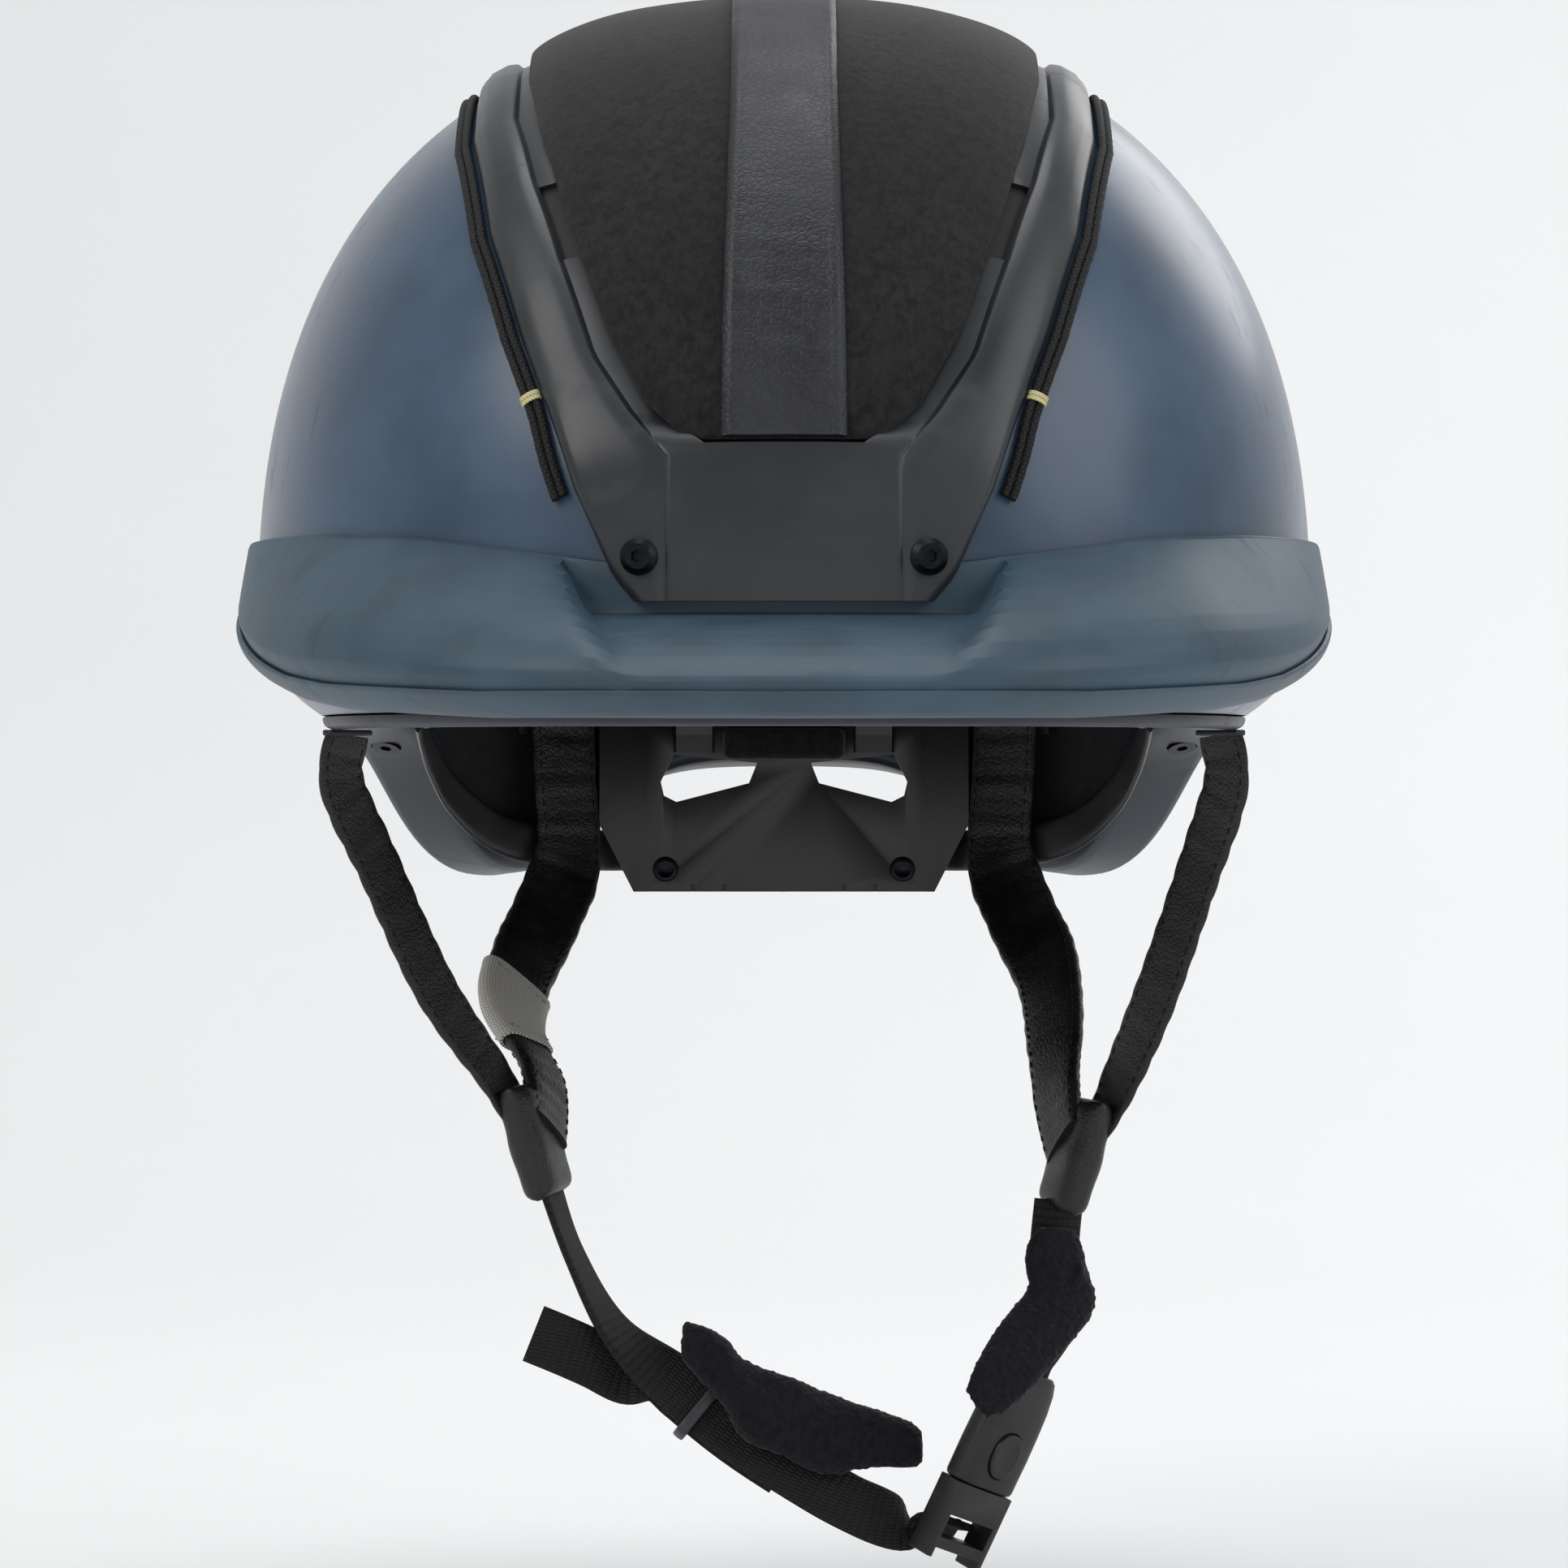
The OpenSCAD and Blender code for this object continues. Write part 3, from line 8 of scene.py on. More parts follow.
import bmesh
import bpy
import numpy as np
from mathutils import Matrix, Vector

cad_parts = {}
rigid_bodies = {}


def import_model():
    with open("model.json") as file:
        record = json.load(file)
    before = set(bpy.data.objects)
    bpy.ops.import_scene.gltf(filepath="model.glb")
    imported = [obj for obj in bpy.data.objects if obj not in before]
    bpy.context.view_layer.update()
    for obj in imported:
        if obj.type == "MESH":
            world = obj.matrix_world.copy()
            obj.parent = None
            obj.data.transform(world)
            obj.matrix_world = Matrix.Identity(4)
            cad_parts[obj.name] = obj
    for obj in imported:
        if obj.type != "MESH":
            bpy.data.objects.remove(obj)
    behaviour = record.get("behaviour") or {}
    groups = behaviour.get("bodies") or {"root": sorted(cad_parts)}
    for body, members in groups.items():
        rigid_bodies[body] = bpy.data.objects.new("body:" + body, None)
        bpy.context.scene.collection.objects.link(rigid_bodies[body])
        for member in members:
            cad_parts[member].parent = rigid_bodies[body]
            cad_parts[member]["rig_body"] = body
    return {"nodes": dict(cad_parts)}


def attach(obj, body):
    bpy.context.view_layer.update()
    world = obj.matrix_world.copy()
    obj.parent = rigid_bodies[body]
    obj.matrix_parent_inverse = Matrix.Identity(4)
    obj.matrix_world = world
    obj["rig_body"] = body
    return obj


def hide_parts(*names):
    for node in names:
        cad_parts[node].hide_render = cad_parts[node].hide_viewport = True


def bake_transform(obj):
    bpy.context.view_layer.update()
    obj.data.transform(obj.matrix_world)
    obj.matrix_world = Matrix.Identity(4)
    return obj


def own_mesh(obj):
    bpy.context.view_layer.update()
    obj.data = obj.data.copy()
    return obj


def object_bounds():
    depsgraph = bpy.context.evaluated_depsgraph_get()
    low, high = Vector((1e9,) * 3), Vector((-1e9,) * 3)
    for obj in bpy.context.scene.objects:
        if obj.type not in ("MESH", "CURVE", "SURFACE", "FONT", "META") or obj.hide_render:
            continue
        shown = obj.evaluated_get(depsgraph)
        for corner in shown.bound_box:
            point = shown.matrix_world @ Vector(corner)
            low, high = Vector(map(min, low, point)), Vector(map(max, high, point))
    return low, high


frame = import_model()
CAD_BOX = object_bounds()

bl_info = {
    "name": "Riding helmet",
    "version": (1, 0, 0),
    "blender": (4, 5, 0),
    "location": "3D View > Sidebar > Helmet",
    "description": "Builds a riding helmet's visible surfaces round its packed frame",
    "category": "Add Mesh",
}

MM = 0.001
HELMET = "helmet"
SHELL_W, SHELL_L, CROWN = 108.5, 131.0, 123.0
WAIST, SHELL_Y, SQUARE = 20.0, 3.0, 2.35
EDGE_TUCK, LINER_TUCK = 0.475, 0.25
SHELL_T, LINER_T, RIM_T, LOBE_DROP = 1.8, 24.0, 3.0, 27.0
GAP = 0.3
LINER_OUT = -SHELL_T - GAP
LINER_IN = -SHELL_T - LINER_T
LIP_IN = LINER_IN - 2 * GAP - 1.5


# ---- Shapes -------------------------------------------------------------------------------

def vec(*v):
    """A vector of floats."""
    return np.array(v, float)


def ease(t):
    """Smooth step: 3t^2 - 2t^3 of t held between 0 and 1."""
    t = np.clip(t, 0, 1)
    return t * t * (3 - 2 * t)


def unit(v):
    """Each vector divided by its length."""
    return v / np.maximum(np.linalg.norm(v, axis=-1, keepdims=True), 1e-12)


def line(table):
    """Function that reads a table of x, y pairs with straight lines between them."""
    xs, ys = np.array(table, float).T
    return lambda x: np.interp(x, xs, ys)


def side(az):
    """Azimuth away from the front, 0 to 180 degrees."""
    m = np.abs(az) % 360
    return np.where(m > 180, 360 - m, m)


def edge_z(az):
    """Lower edge: level in front, two flat-topped bell curves behind the ears, raised nape."""
    s = side(az)
    spread = np.where(s > 142, 17.0, 20.0)
    return 1 - 7 * ease((s - 90) / 90) - LOBE_DROP * np.exp(-(np.abs(s - 142) / spread) ** 2.4)


def plan_r(az, lift):
    """Radius of a superellipse of half width SHELL_W and half length SHELL_L, plus lift."""
    a = np.radians(az)
    return ((np.abs(np.sin(a)) / (SHELL_W + lift)) ** SQUARE
            + (np.abs(np.cos(a)) / (SHELL_L + lift)) ** SQUARE) ** (-1 / SQUARE)


def radius_at(az, z, lift):
    """Radius at a height: superellipsoid above the waist, circular pull-in below it."""
    up = np.clip(1 - (np.maximum(z - WAIST, 0) / (CROWN + lift)) ** SQUARE, 0, 1) ** (1 / SQUARE)
    down = np.sqrt(np.clip(1 - (EDGE_TUCK * (WAIST - z) / (WAIST - edge_z(az))) ** 2, 0, 1))
    return plan_r(az, lift) * np.where(z >= WAIST, up, down)


def inner_r(az, z, lift):
    """Radius of the liner's inner face, pulled in less than the shell."""
    up = radius_at(az, z, lift)
    u = np.minimum(1, (WAIST - z) / (WAIST - edge_z(az) - RIM_T))
    return np.where(z >= WAIST, up, plan_r(az, lift) * np.sqrt(1 - (LINER_TUCK * u) ** 2))


def at(az, r, z):
    """Cylinder coordinates about the shell's middle, as points."""
    a = np.radians(az)
    return np.stack(np.broadcast_arrays(r * np.sin(a), SHELL_Y - r * np.cos(a), z), -1)


def dome_pt(az, row, lift, tuck, rise=0.0):
    """Rows -1 to 0 run from the edge to the waist; above that row is an elevation."""
    u = np.clip(-row, 0, 1)
    low = at(az, plan_r(az, lift) * np.sqrt(1 - (tuck * u) ** 2),
             WAIST * (1 - u) + (edge_z(az) + rise) * u)
    a, e = np.radians(az), np.radians(np.maximum(row, 0))
    k = ((np.abs(np.sin(a)) * np.cos(e) / (SHELL_W + lift)) ** SQUARE
         + (np.abs(np.cos(a)) * np.cos(e) / (SHELL_L + lift)) ** SQUARE
         + (np.sin(e) / (CROWN + lift)) ** SQUARE) ** (-1 / SQUARE)
    high = at(az, k * np.cos(e), WAIST + k * np.sin(e))
    return np.where((row < 0)[..., None], low, high)


def over_pt(th, x, lift):
    """Point of the superellipsoid at angle th over the crown, 0 front to 180 back, and width x."""
    t = np.radians(th)
    c, s = np.cos(t), np.sin(t)
    k = ((1 - (np.abs(x) / (SHELL_W + lift)) ** SQUARE)
         / ((np.abs(c) / (SHELL_L + lift)) ** SQUARE
            + (np.abs(s) / (CROWN + lift)) ** SQUARE)) ** (1 / SQUARE)
    return np.stack(np.broadcast_arrays(x, SHELL_Y - k * c, WAIST + k * s), -1)


def outward(p):
    """Unit gradient of the superellipsoid: sign(v) |v/half|^(p-1) / half for each axis."""
    half = vec(SHELL_W, SHELL_L, CROWN)
    v = p - vec(0, SHELL_Y, WAIST)
    return unit(np.sign(v) * (np.abs(v) / half) ** (SQUARE - 1) / half)


def curve(points, n):
    """Catmull-Rom curve through points, n steps between each two."""
    p = np.array(points, float)
    pad = np.vstack([p[:1], p, p[-1:]])
    t = (np.arange(n) / n)[None, :, None]
    a, b, c, d = (pad[k:len(p) - 1 + k][:, None] for k in range(4))
    mid = 0.5 * (2 * b + (c - a) * t + (2 * a - 5 * b + 4 * c - d) * t ** 2
                 + (3 * b - a - 3 * c + d) * t ** 3)
    return np.vstack([mid.reshape(-1, p.shape[1]), p[-1:]])


def frames(path, wides):
    """Unit tangent, width and normal along a path; the width is squared to the tangent."""
    t = np.empty_like(path)
    t[1:-1] = path[2:] - path[:-2]
    t[0], t[-1] = path[1] - path[0], path[-1] - path[-2]
    t = unit(t)
    w = np.broadcast_to(wides, path.shape)
    x = unit(w - (w * t).sum(-1, keepdims=True) * t)
    return t, x, np.cross(t, x)


def carried(path, wides, outline):
    """An outline of x, y pairs carried along a path: path + x*width + y*normal."""
    _, x, y = frames(path, wides)
    o = np.broadcast_to(outline, (len(path),) + np.shape(outline)[-2:])
    return path[:, None] + x[:, None] * o[..., :1] + y[:, None] * o[..., 1:]


def eased(p, r):
    """Closed outlines with every corner turned into three points of a parabola of size r."""
    before, after = np.roll(p, 1, -2) - p, np.roll(p, -1, -2) - p
    lb = np.linalg.norm(before, axis=-1, keepdims=True)
    la = np.linalg.norm(after, axis=-1, keepdims=True)
    a = before * np.minimum(r / np.maximum(lb, 1e-9), 0.42)
    b = after * np.minimum(r / np.maximum(la, 1e-9), 0.42)
    return np.stack([p + a, p + (a + b) / 4, p + b], -2).reshape(p.shape[:-2] + (-1, p.shape[-1]))


def band(w, t, crown, n):
    """Flat band outline: width w, thickness t, both faces crowned, ends rounded as half ovals."""
    f = np.cos(np.linspace(0, math.pi, n))
    h = t / 2 * (1 - np.abs(f) ** 6) ** 0.5 + crown * (1 - f ** 2) * (np.abs(f) < 1)
    h = np.maximum(h, 0.02)
    top = np.stack([f * w / 2, h], -1)
    return np.vstack([top, top[::-1][1:-1] * [1, -1]])[::-1]


def widened(outline, scale):
    """One outline for each path point, its x stretched by scale."""
    o = np.repeat(outline[None], len(scale), 0)
    o[..., 0] *= np.asarray(scale)[:, None]
    return o


# ---- Meshes -------------------------------------------------------------------------------

class Solid:
    """Collects grids of points as vertices, quads and texture coordinates."""

    def __init__(self):
        self.v, self.f, self.t, self.count = [], [], [], 0

    def grid(self, p, wrap_u=False, wrap_v=False, flip=False):
        """Quads between neighbours of an n by m grid of points."""
        n, m = p.shape[:2]
        du = np.linalg.norm(np.diff(p, axis=0, append=p[:1]), axis=-1).mean(1)
        dv = np.linalg.norm(np.diff(p, axis=1, append=p[:, :1]), axis=-1).mean(0)
        us, vs = np.r_[0, np.cumsum(du)] * MM, np.r_[0, np.cumsum(dv)] * MM
        i, j = np.meshgrid(np.arange(n - 1 + wrap_u), np.arange(m - 1 + wrap_v), indexing="ij")
        ci = np.stack([i, i + 1, i + 1, i], -1).reshape(-1, 4)
        cj = np.stack([j, j, j + 1, j + 1], -1).reshape(-1, 4)
        if flip:
            ci, cj = ci[:, ::-1], cj[:, ::-1]
        self.v.append(p.reshape(-1, 3))
        self.f.append((ci % n) * m + cj % m + self.count)
        self.t.append(np.stack([us[ci], vs[cj]], -1))
        self.count += n * m
        return self

    def tube(self, p):
        """A grid closed round its second direction, with a flat end at each end of the first."""
        self.grid(p, wrap_v=True)
        for ring, turn in ((p[0], True), (p[-1], False)):
            middle = np.broadcast_to(ring.mean(0), ring.shape)
            self.grid(np.stack([ring, middle]), wrap_v=True, flip=turn)
        return self

    def skins(self, outer, inner, keep=None, wrap=False):
        """Two grids with quads where keep is true, and walls along every open edge."""
        n, m = outer.shape[:2]
        if keep is None:
            keep = np.ones((n - 1 + wrap, m - 1), bool)
        i, j = np.nonzero(keep)
        ci = np.stack([i, i + 1, i + 1, i], -1)
        cj = np.stack([j, j, j + 1, j + 1], -1)
        quads = (ci % n) * m + cj
        du = np.linalg.norm(np.diff(outer, axis=0, append=outer[:1]), axis=-1).mean(1)
        dv = np.linalg.norm(np.diff(outer, axis=1), axis=-1).mean(0)
        uv = np.r_[0, np.cumsum(du)] * MM, np.r_[0, np.cumsum(dv)] * MM
        tex = np.stack([uv[0][ci], uv[1][cj]], -1)
        a, b = quads.ravel(), np.roll(quads, -1, 1).ravel()
        ta, tb = tex.reshape(-1, 2), np.roll(tex, -1, 1).reshape(-1, 2)
        open_edge = ~np.isin(b * n * m + a, a * n * m + b)
        a, b, ta, tb = a[open_edge], b[open_edge], ta[open_edge], tb[open_edge]
        walls = np.stack([b, a, a + n * m, b + n * m], -1)
        self.v += [outer.reshape(-1, 3), inner.reshape(-1, 3)]
        self.f += [quads + self.count, quads[:, ::-1] + n * m + self.count, walls + self.count]
        self.t += [tex, tex[:, ::-1], np.stack([tb, ta, ta, tb], 1)]
        self.count += 2 * n * m
        return self

    def copies(self, p, faces, origins, x, y, z):
        """A small closed shape repeated: origin + px*x + py*y + pz*z."""
        pts = (origins[:, None] + p[None, :, :1] * x[:, None] + p[None, :, 1:2] * y[:, None]
               + p[None, :, 2:] * z[:, None])
        f = faces[None] + (np.arange(len(origins)) * len(p))[:, None, None]
        self.v.append(pts.reshape(-1, 3))
        self.f.append(f.reshape(-1, 4) + self.count)
        self.t.append(np.zeros((len(origins) * len(faces), 4, 2)))
        self.count += pts.shape[0] * pts.shape[1]
        return self

    def object(self, name, smooth):
        """Mesh object in metres, doubles merged, flat faces dropped, normals outwards."""
        v, f, t = (np.concatenate(a) for a in (self.v, self.f, self.t))
        mesh = bpy.data.meshes.new(name)
        mesh.vertices.add(len(v))
        mesh.vertices.foreach_set("co", (v * MM).ravel())
        mesh.loops.add(f.size)
        mesh.loops.foreach_set("vertex_index", f.astype(np.int32).ravel())
        mesh.polygons.add(len(f))
        mesh.polygons.foreach_set("loop_start", np.arange(0, f.size, 4, dtype=np.int32))
        mesh.update(calc_edges=True)
        mesh.uv_layers.new(name="UVMap").data.foreach_set("uv", t.ravel())
        bm = bmesh.new()
        bm.from_mesh(mesh)
        bmesh.ops.remove_doubles(bm, verts=bm.verts, dist=2e-6)
        bmesh.ops.dissolve_degenerate(bm, edges=bm.edges, dist=1e-7)
        bmesh.ops.recalc_face_normals(bm, faces=bm.faces)
        bm.to_mesh(mesh)
        bm.free()
        obj = bpy.data.objects.new(name, mesh)
        bpy.context.scene.collection.objects.link(obj)
        shade(obj, smooth)
        return obj


def shade(obj, degrees):
    """Smooth faces with sharp edges above an angle."""
    mesh = obj.data
    mesh.polygons.foreach_set("use_smooth", np.ones(len(mesh.polygons), bool))
    mesh.set_sharp_from_angle(angle=math.radians(degrees))
    mesh.update()


def settle(obj):
    """Applies an object's modifiers to its mesh."""
    graph = bpy.context.evaluated_depsgraph_get()
    mesh = bpy.data.meshes.new_from_object(obj.evaluated_get(graph))
    obj.modifiers.clear()
    obj.data = mesh
    return obj


def softened(obj):
    """One subdivision, applied."""
    mod = obj.modifiers.new("Subdivision", "SUBSURF")
    mod.levels = mod.render_levels = 1
    settle(obj)
    shade(obj, 60)
    return obj


def fit(obj, material, slot, *nodes, body=HELMET):
    """Gives a piece its finish, its body and the nodes that it stands for."""
    obj.data.materials.clear()
    obj.data.materials.append(finish_named(material))
    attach(obj, body)
    if nodes:
        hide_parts(*nodes)
    return obj


def keep_node(node, material):
    """A CAD node whose shape stays gets its finish."""
    obj = frame["nodes"][node]
    finish = finish_named(material)
    for s in obj.material_slots:
        s.material = finish
    if not obj.material_slots:
        obj.data.materials.append(finish)


# A stitch: six-sided spindle along x
_RING = np.radians([30, 90, 150, 210, 270, 330])
STITCH_V = np.concatenate([
    np.stack([np.full(6, x), r * np.cos(_RING), r * np.sin(_RING)], -1)
    for x, r in ((-1, 0.12), (-0.6, 0.9), (0.6, 0.9), (1, 0.12))])
STITCH_F = np.array([[k * 6 + i, (k + 1) * 6 + i, (k + 1) * 6 + (i + 1) % 6, k * 6 + (i + 1) % 6]
                     for k in range(3) for i in range(6)])


def sewn(solid, path, normals, pitch, length, thick):
    """Stitches of one length along a path, each sunk halfway into the surface."""
    step = np.linalg.norm(np.diff(path, axis=0), axis=-1)
    s = np.r_[0, np.cumsum(step)]
    n = max(2, int(s[-1] / pitch))
    where = (np.arange(n) + 0.5) * s[-1] / n
    mid = np.stack([np.interp(where, s, path[:, k]) for k in range(3)], -1)
    t, up = frames(path, normals)[:2]
    t = unit(np.stack([np.interp(where, s, t[:, k]) for k in range(3)], -1))
    up = unit(np.stack([np.interp(where, s, up[:, k]) for k in range(3)], -1))
    return solid.copies(STITCH_V, STITCH_F, mid, t * length / 2, np.cross(up, t) * thick,
                        up * thick * 0.7)


# ---- Finishes -----------------------------------------------------------------------------

def linear(code):
    """A hex colour, or a linear colour from the panel, as red, green, blue and alpha 1."""
    if not isinstance(code, str):
        return (*code, 1.0)
    c = np.array([int(code[k:k + 2], 16) for k in (1, 3, 5)]) / 255
    return (*np.where(c <= 0.04045, c / 12.92, ((c + 0.055) / 1.055) ** 2.4), 1.0)


class Tree:
    """Short way to add nodes to a material or a node group."""

    def __init__(self, tree):
        self.tree = tree

    def add(self, kind, outputs=0, props=None, **inputs):
        """A node with its settings and inputs; an input is a value or another node's socket."""
        node = self.tree.nodes.new(kind)
        for key, value in (props or {}).items():
            setattr(node, key, value)
        for key, value in inputs.items():
            which = int(key[1:]) if key[1:].isdigit() else key.replace("_", " ")
            self.put(node.inputs[which], value)
        return node.outputs[outputs]

    def put(self, socket, value):
        """Links another node's socket, or sets a plain value."""
        if isinstance(value, bpy.types.NodeSocket):
            self.tree.links.new(value, socket)
        else:
            socket.default_value = value

    def math(self, operation, a, b=0.0):
        """One maths node."""
        return self.add("ShaderNodeMath", props={"operation": operation}, i0=a, i1=b)

    def noise(self, coords, scale, detail, rough=0.55, distortion=0.0):
        """Noise texture's value."""
        return self.add("ShaderNodeTexNoise", Vector=coords, Scale=scale, Detail=detail,
                        Roughness=rough, Distortion=distortion)

    def ramp(self, value, low, high):
        """Value between two limits, smoothly, as 0 to 1."""
        return self.add("ShaderNodeMapRange", props={"interpolation_type": "SMOOTHSTEP"},
                        Value=value, From_Min=low, From_Max=high, To_Min=0.0, To_Max=1.0)

    def tint(self, mask, a, b):
        """Colour a where mask is 0, b where it is 1."""
        return self.add("ShaderNodeMix", 2, {"data_type": "RGBA"}, i0=mask, i6=a, i7=b)

    def stretch(self, coords, x, y, z):
        """Coordinates scaled along each axis."""
        return self.add("ShaderNodeMapping", Vector=coords, Scale=(x, y, z))


def group(name, inputs, build):
    """A shared effect: a node group with named inputs and outputs, made once."""
    tree = bpy.data.node_groups.get(name)
    if tree is None:
        tree = bpy.data.node_groups.new(name, "ShaderNodeTree")
        for label, kind, default in inputs:
            sock = tree.interface.new_socket(label, in_out="INPUT", socket_type=kind)
            if default is not None:
                sock.default_value = default
        start = tree.nodes.new("NodeGroupInput")
        results = build(Tree(tree), start.outputs)
        end = tree.nodes.new("NodeGroupOutput")
        for label, socket in results.items():
            tree.interface.new_socket(label, in_out="OUTPUT", socket_type="NodeSocketFloat")
            tree.links.new(socket, end.inputs[label])
    return tree


FLOAT, VECTOR = "NodeSocketFloat", "NodeSocketVector"


def moulding(t, i):
    """Moulded texture: fine pits over a broad, soft unevenness, with light scuffs."""
    fine = t.noise(i["Coords"], i["Scale"], 2.0)
    broad = t.noise(i["Coords"], t.math("MULTIPLY", i["Scale"], 0.03), 3.0)
    streak = t.noise(t.stretch(i["Coords"], 30, 220, 90), 1.0, 4.0, 0.6)
    return {"Height": t.math("ADD", t.math("MULTIPLY", fine, 0.7), t.math("MULTIPLY", broad, 0.3)),
            "Scuff": t.ramp(streak, 0.56, 0.74), "Broad": t.ramp(broad, 0.3, 0.7)}


def grain(t, i):
    """Leather grain: cells with dark creases between them, broken up by noise."""
    warped = t.add("ShaderNodeTexNoise", 1, Vector=i["Coords"], Scale=220.0)
    coords = t.add("ShaderNodeMix", 1, {"data_type": "VECTOR"}, i0=0.0016, i4=i["Coords"],
                   i5=warped)
    cell = t.add("ShaderNodeTexVoronoi", props={"feature": "DISTANCE_TO_EDGE"}, Vector=coords,
                 Scale=i["Scale"])
    crease = t.ramp(cell, 0.0, 0.22)
    broad = t.noise(i["Coords"], 60.0, 3.0)
    return {"Height": t.math("ADD", t.math("MULTIPLY", crease, 0.8),
                             t.math("MULTIPLY", broad, 0.5)),
            "Crease": crease, "Broad": t.ramp(broad, 0.35, 0.65)}


def weave(t, i):
    """Ribbed weave on texture coordinates: ribs across, alternate threads along."""
    xyz = t.add("ShaderNodeSeparateXYZ", Vector=i["Coords"])
    node = xyz.node
    u = t.math("MULTIPLY", node.outputs[0], i["Ribs"])
    v = t.math("MULTIPLY", node.outputs[1], i["Threads"])
    rib = t.math("ABSOLUTE", t.math("SINE", u))
    thread = t.math("ABSOLUTE", t.math("SINE", t.math(
        "ADD", v, t.math("MULTIPLY", t.math("GREATER_THAN", t.math("SINE", u), 0.0), 1.5708))))
    fuzz = t.noise(i["Coords"], 2500.0, 2.0)
    both = t.math("MULTIPLY", t.math("POWER", rib, 0.6), t.math("POWER", thread, 0.5))
    return {"Height": t.math("ADD", both, t.math("MULTIPLY", fuzz, 0.35)),
            "Mask": t.math("MULTIPLY", both, t.math("ADD", 0.7, t.math("MULTIPLY", fuzz, 0.5)))}


def nap(t, i):
    """Brushed cloth: short fibres in clumps, with pressed and raised patches."""
    fibre = t.noise(t.stretch(i["Coords"], 900, 900, 450), 1.0, 3.0, 0.7)
    clump = t.noise(i["Coords"], i["Scale"], 4.0, 0.65, 0.4)
    brushed = t.noise(i["Coords"], 28.0, 3.0, 0.6, 0.6)
    return {"Height": t.math("ADD", t.math("MULTIPLY", fibre, 0.5), clump),
            "Fibre": t.ramp(fibre, 0.35, 0.7), "Clump": t.ramp(clump, 0.35, 0.65),
            "Brushed": t.ramp(brushed, 0.35, 0.65)}


def dust(t, i):
    """A little pale dust where a surface faces up, broken by noise."""
    up = t.add("ShaderNodeSeparateXYZ", 2, Vector=t.add("ShaderNodeNewGeometry", 1))
    speck = t.noise(i["Coords"], 1400.0, 2.0)
    patch = t.noise(i["Coords"], 24.0, 3.0)
    return {"Mask": t.math("MULTIPLY", t.ramp(up, 0.3, 1.0),
                           t.math("MULTIPLY", t.ramp(speck, 0.55, 0.75), t.ramp(patch, 0.4, 0.7)))}


GROUPS = {
    "Moulding": (moulding, [("Coords", VECTOR, None), ("Scale", FLOAT, 900.0)]),
    "Leather grain": (grain, [("Coords", VECTOR, None), ("Scale", FLOAT, 700.0)]),
    "Ribbed weave": (weave, [("Coords", VECTOR, None), ("Ribs", FLOAT, 3000.0),
                             ("Threads", FLOAT, 3000.0)]),
    "Nap": (nap, [("Coords", VECTOR, None), ("Scale", FLOAT, 240.0)]),
    "Dust": (dust, [("Coords", VECTOR, None)]),
}


class Finish(Tree):
    """A material with one Principled shader and the shared effects."""

    def __init__(self, name):
        mat = bpy.data.materials.new(name)
        mat.use_nodes = True
        super().__init__(mat.node_tree)
        self.mat = mat
        self.shader = mat.node_tree.nodes["Principled BSDF"]
        self.coords = self.add("ShaderNodeTexCoord", "Object")
        self.uv = self.coords.node.outputs["UV"]

    def effect(self, name, **inputs):
        """Places a shared effect and returns its outputs."""
        build, sockets = GROUPS[name]
        node = self.tree.nodes.new("ShaderNodeGroup")
        node.node_tree = group(name, sockets, build)
        for key, value in {"Coords": self.coords, **inputs}.items():
            self.put(node.inputs[key], value)
        return node.outputs

    def surface(self, **inputs):
        """Sets or links the shader's inputs."""
        for key, value in inputs.items():
            self.put(self.shader.inputs[key.replace("_", " ")], value)
        return self

    def relief(self, height, depth):
        """Bump of a depth in millimetres."""
        return self.surface(Normal=self.add("ShaderNodeBump", Height=height, Strength=1.0,
                                            Distance=depth * MM))


def plastic(name, colour, rough, pits, depth, coat=0.0, worn=0.18, dusty=0.25):
    """Moulded or painted plastic: slight colour drift, scuffs and a little dust."""
    m = Finish(name)
    mould = m.effect("Moulding", Scale=pits)
    dirt = m.effect("Dust")["Mask"]
    base = np.array(linear(colour))
    light = tuple(np.minimum(base * 1.25 + 0.006, 1))[:3] + (1.0,)
    tone = m.tint(mould["Broad"], tuple(base * [0.92, 0.92, 0.92, 1]), light)
    tone = m.tint(m.math("MULTIPLY", mould["Scuff"], worn), tone, tuple(base * 0.8 + 0.11))
    tone = m.tint(m.math("MULTIPLY", dirt, dusty), tone, (0.32, 0.31, 0.29, 1))
    gloss = m.math("ADD", m.math("MULTIPLY", mould["Broad"], 0.07),
                   m.math("MULTIPLY", mould["Scuff"], 0.12))
    m.surface(Base_Color=tone, Roughness=m.math("ADD", gloss, rough - 0.04),
              Coat_Weight=coat, Coat_Roughness=0.22)
    return m.relief(mould["Height"], depth).mat


def leather(name, colour, scale, rough, depth):
    """Grained leather or leatherette, darker in its creases."""
    m = Finish(name)
    g = m.effect("Leather grain", Scale=scale)
    base = np.array(linear(colour))
    tone = m.tint(g["Crease"], tuple(base * [0.45, 0.45, 0.45, 1]), tuple(base * 1.1 + 0.002))
    tone = m.tint(m.math("MULTIPLY", g["Broad"], 0.5), tone, tuple(base * 1.5 + 0.006))
    m.surface(Base_Color=tone, Specular_IOR_Level=0.5, Roughness=m.math(
        "ADD", rough, m.math("MULTIPLY", g["Broad"], 0.12)))
    return m.relief(g["Height"], depth).mat


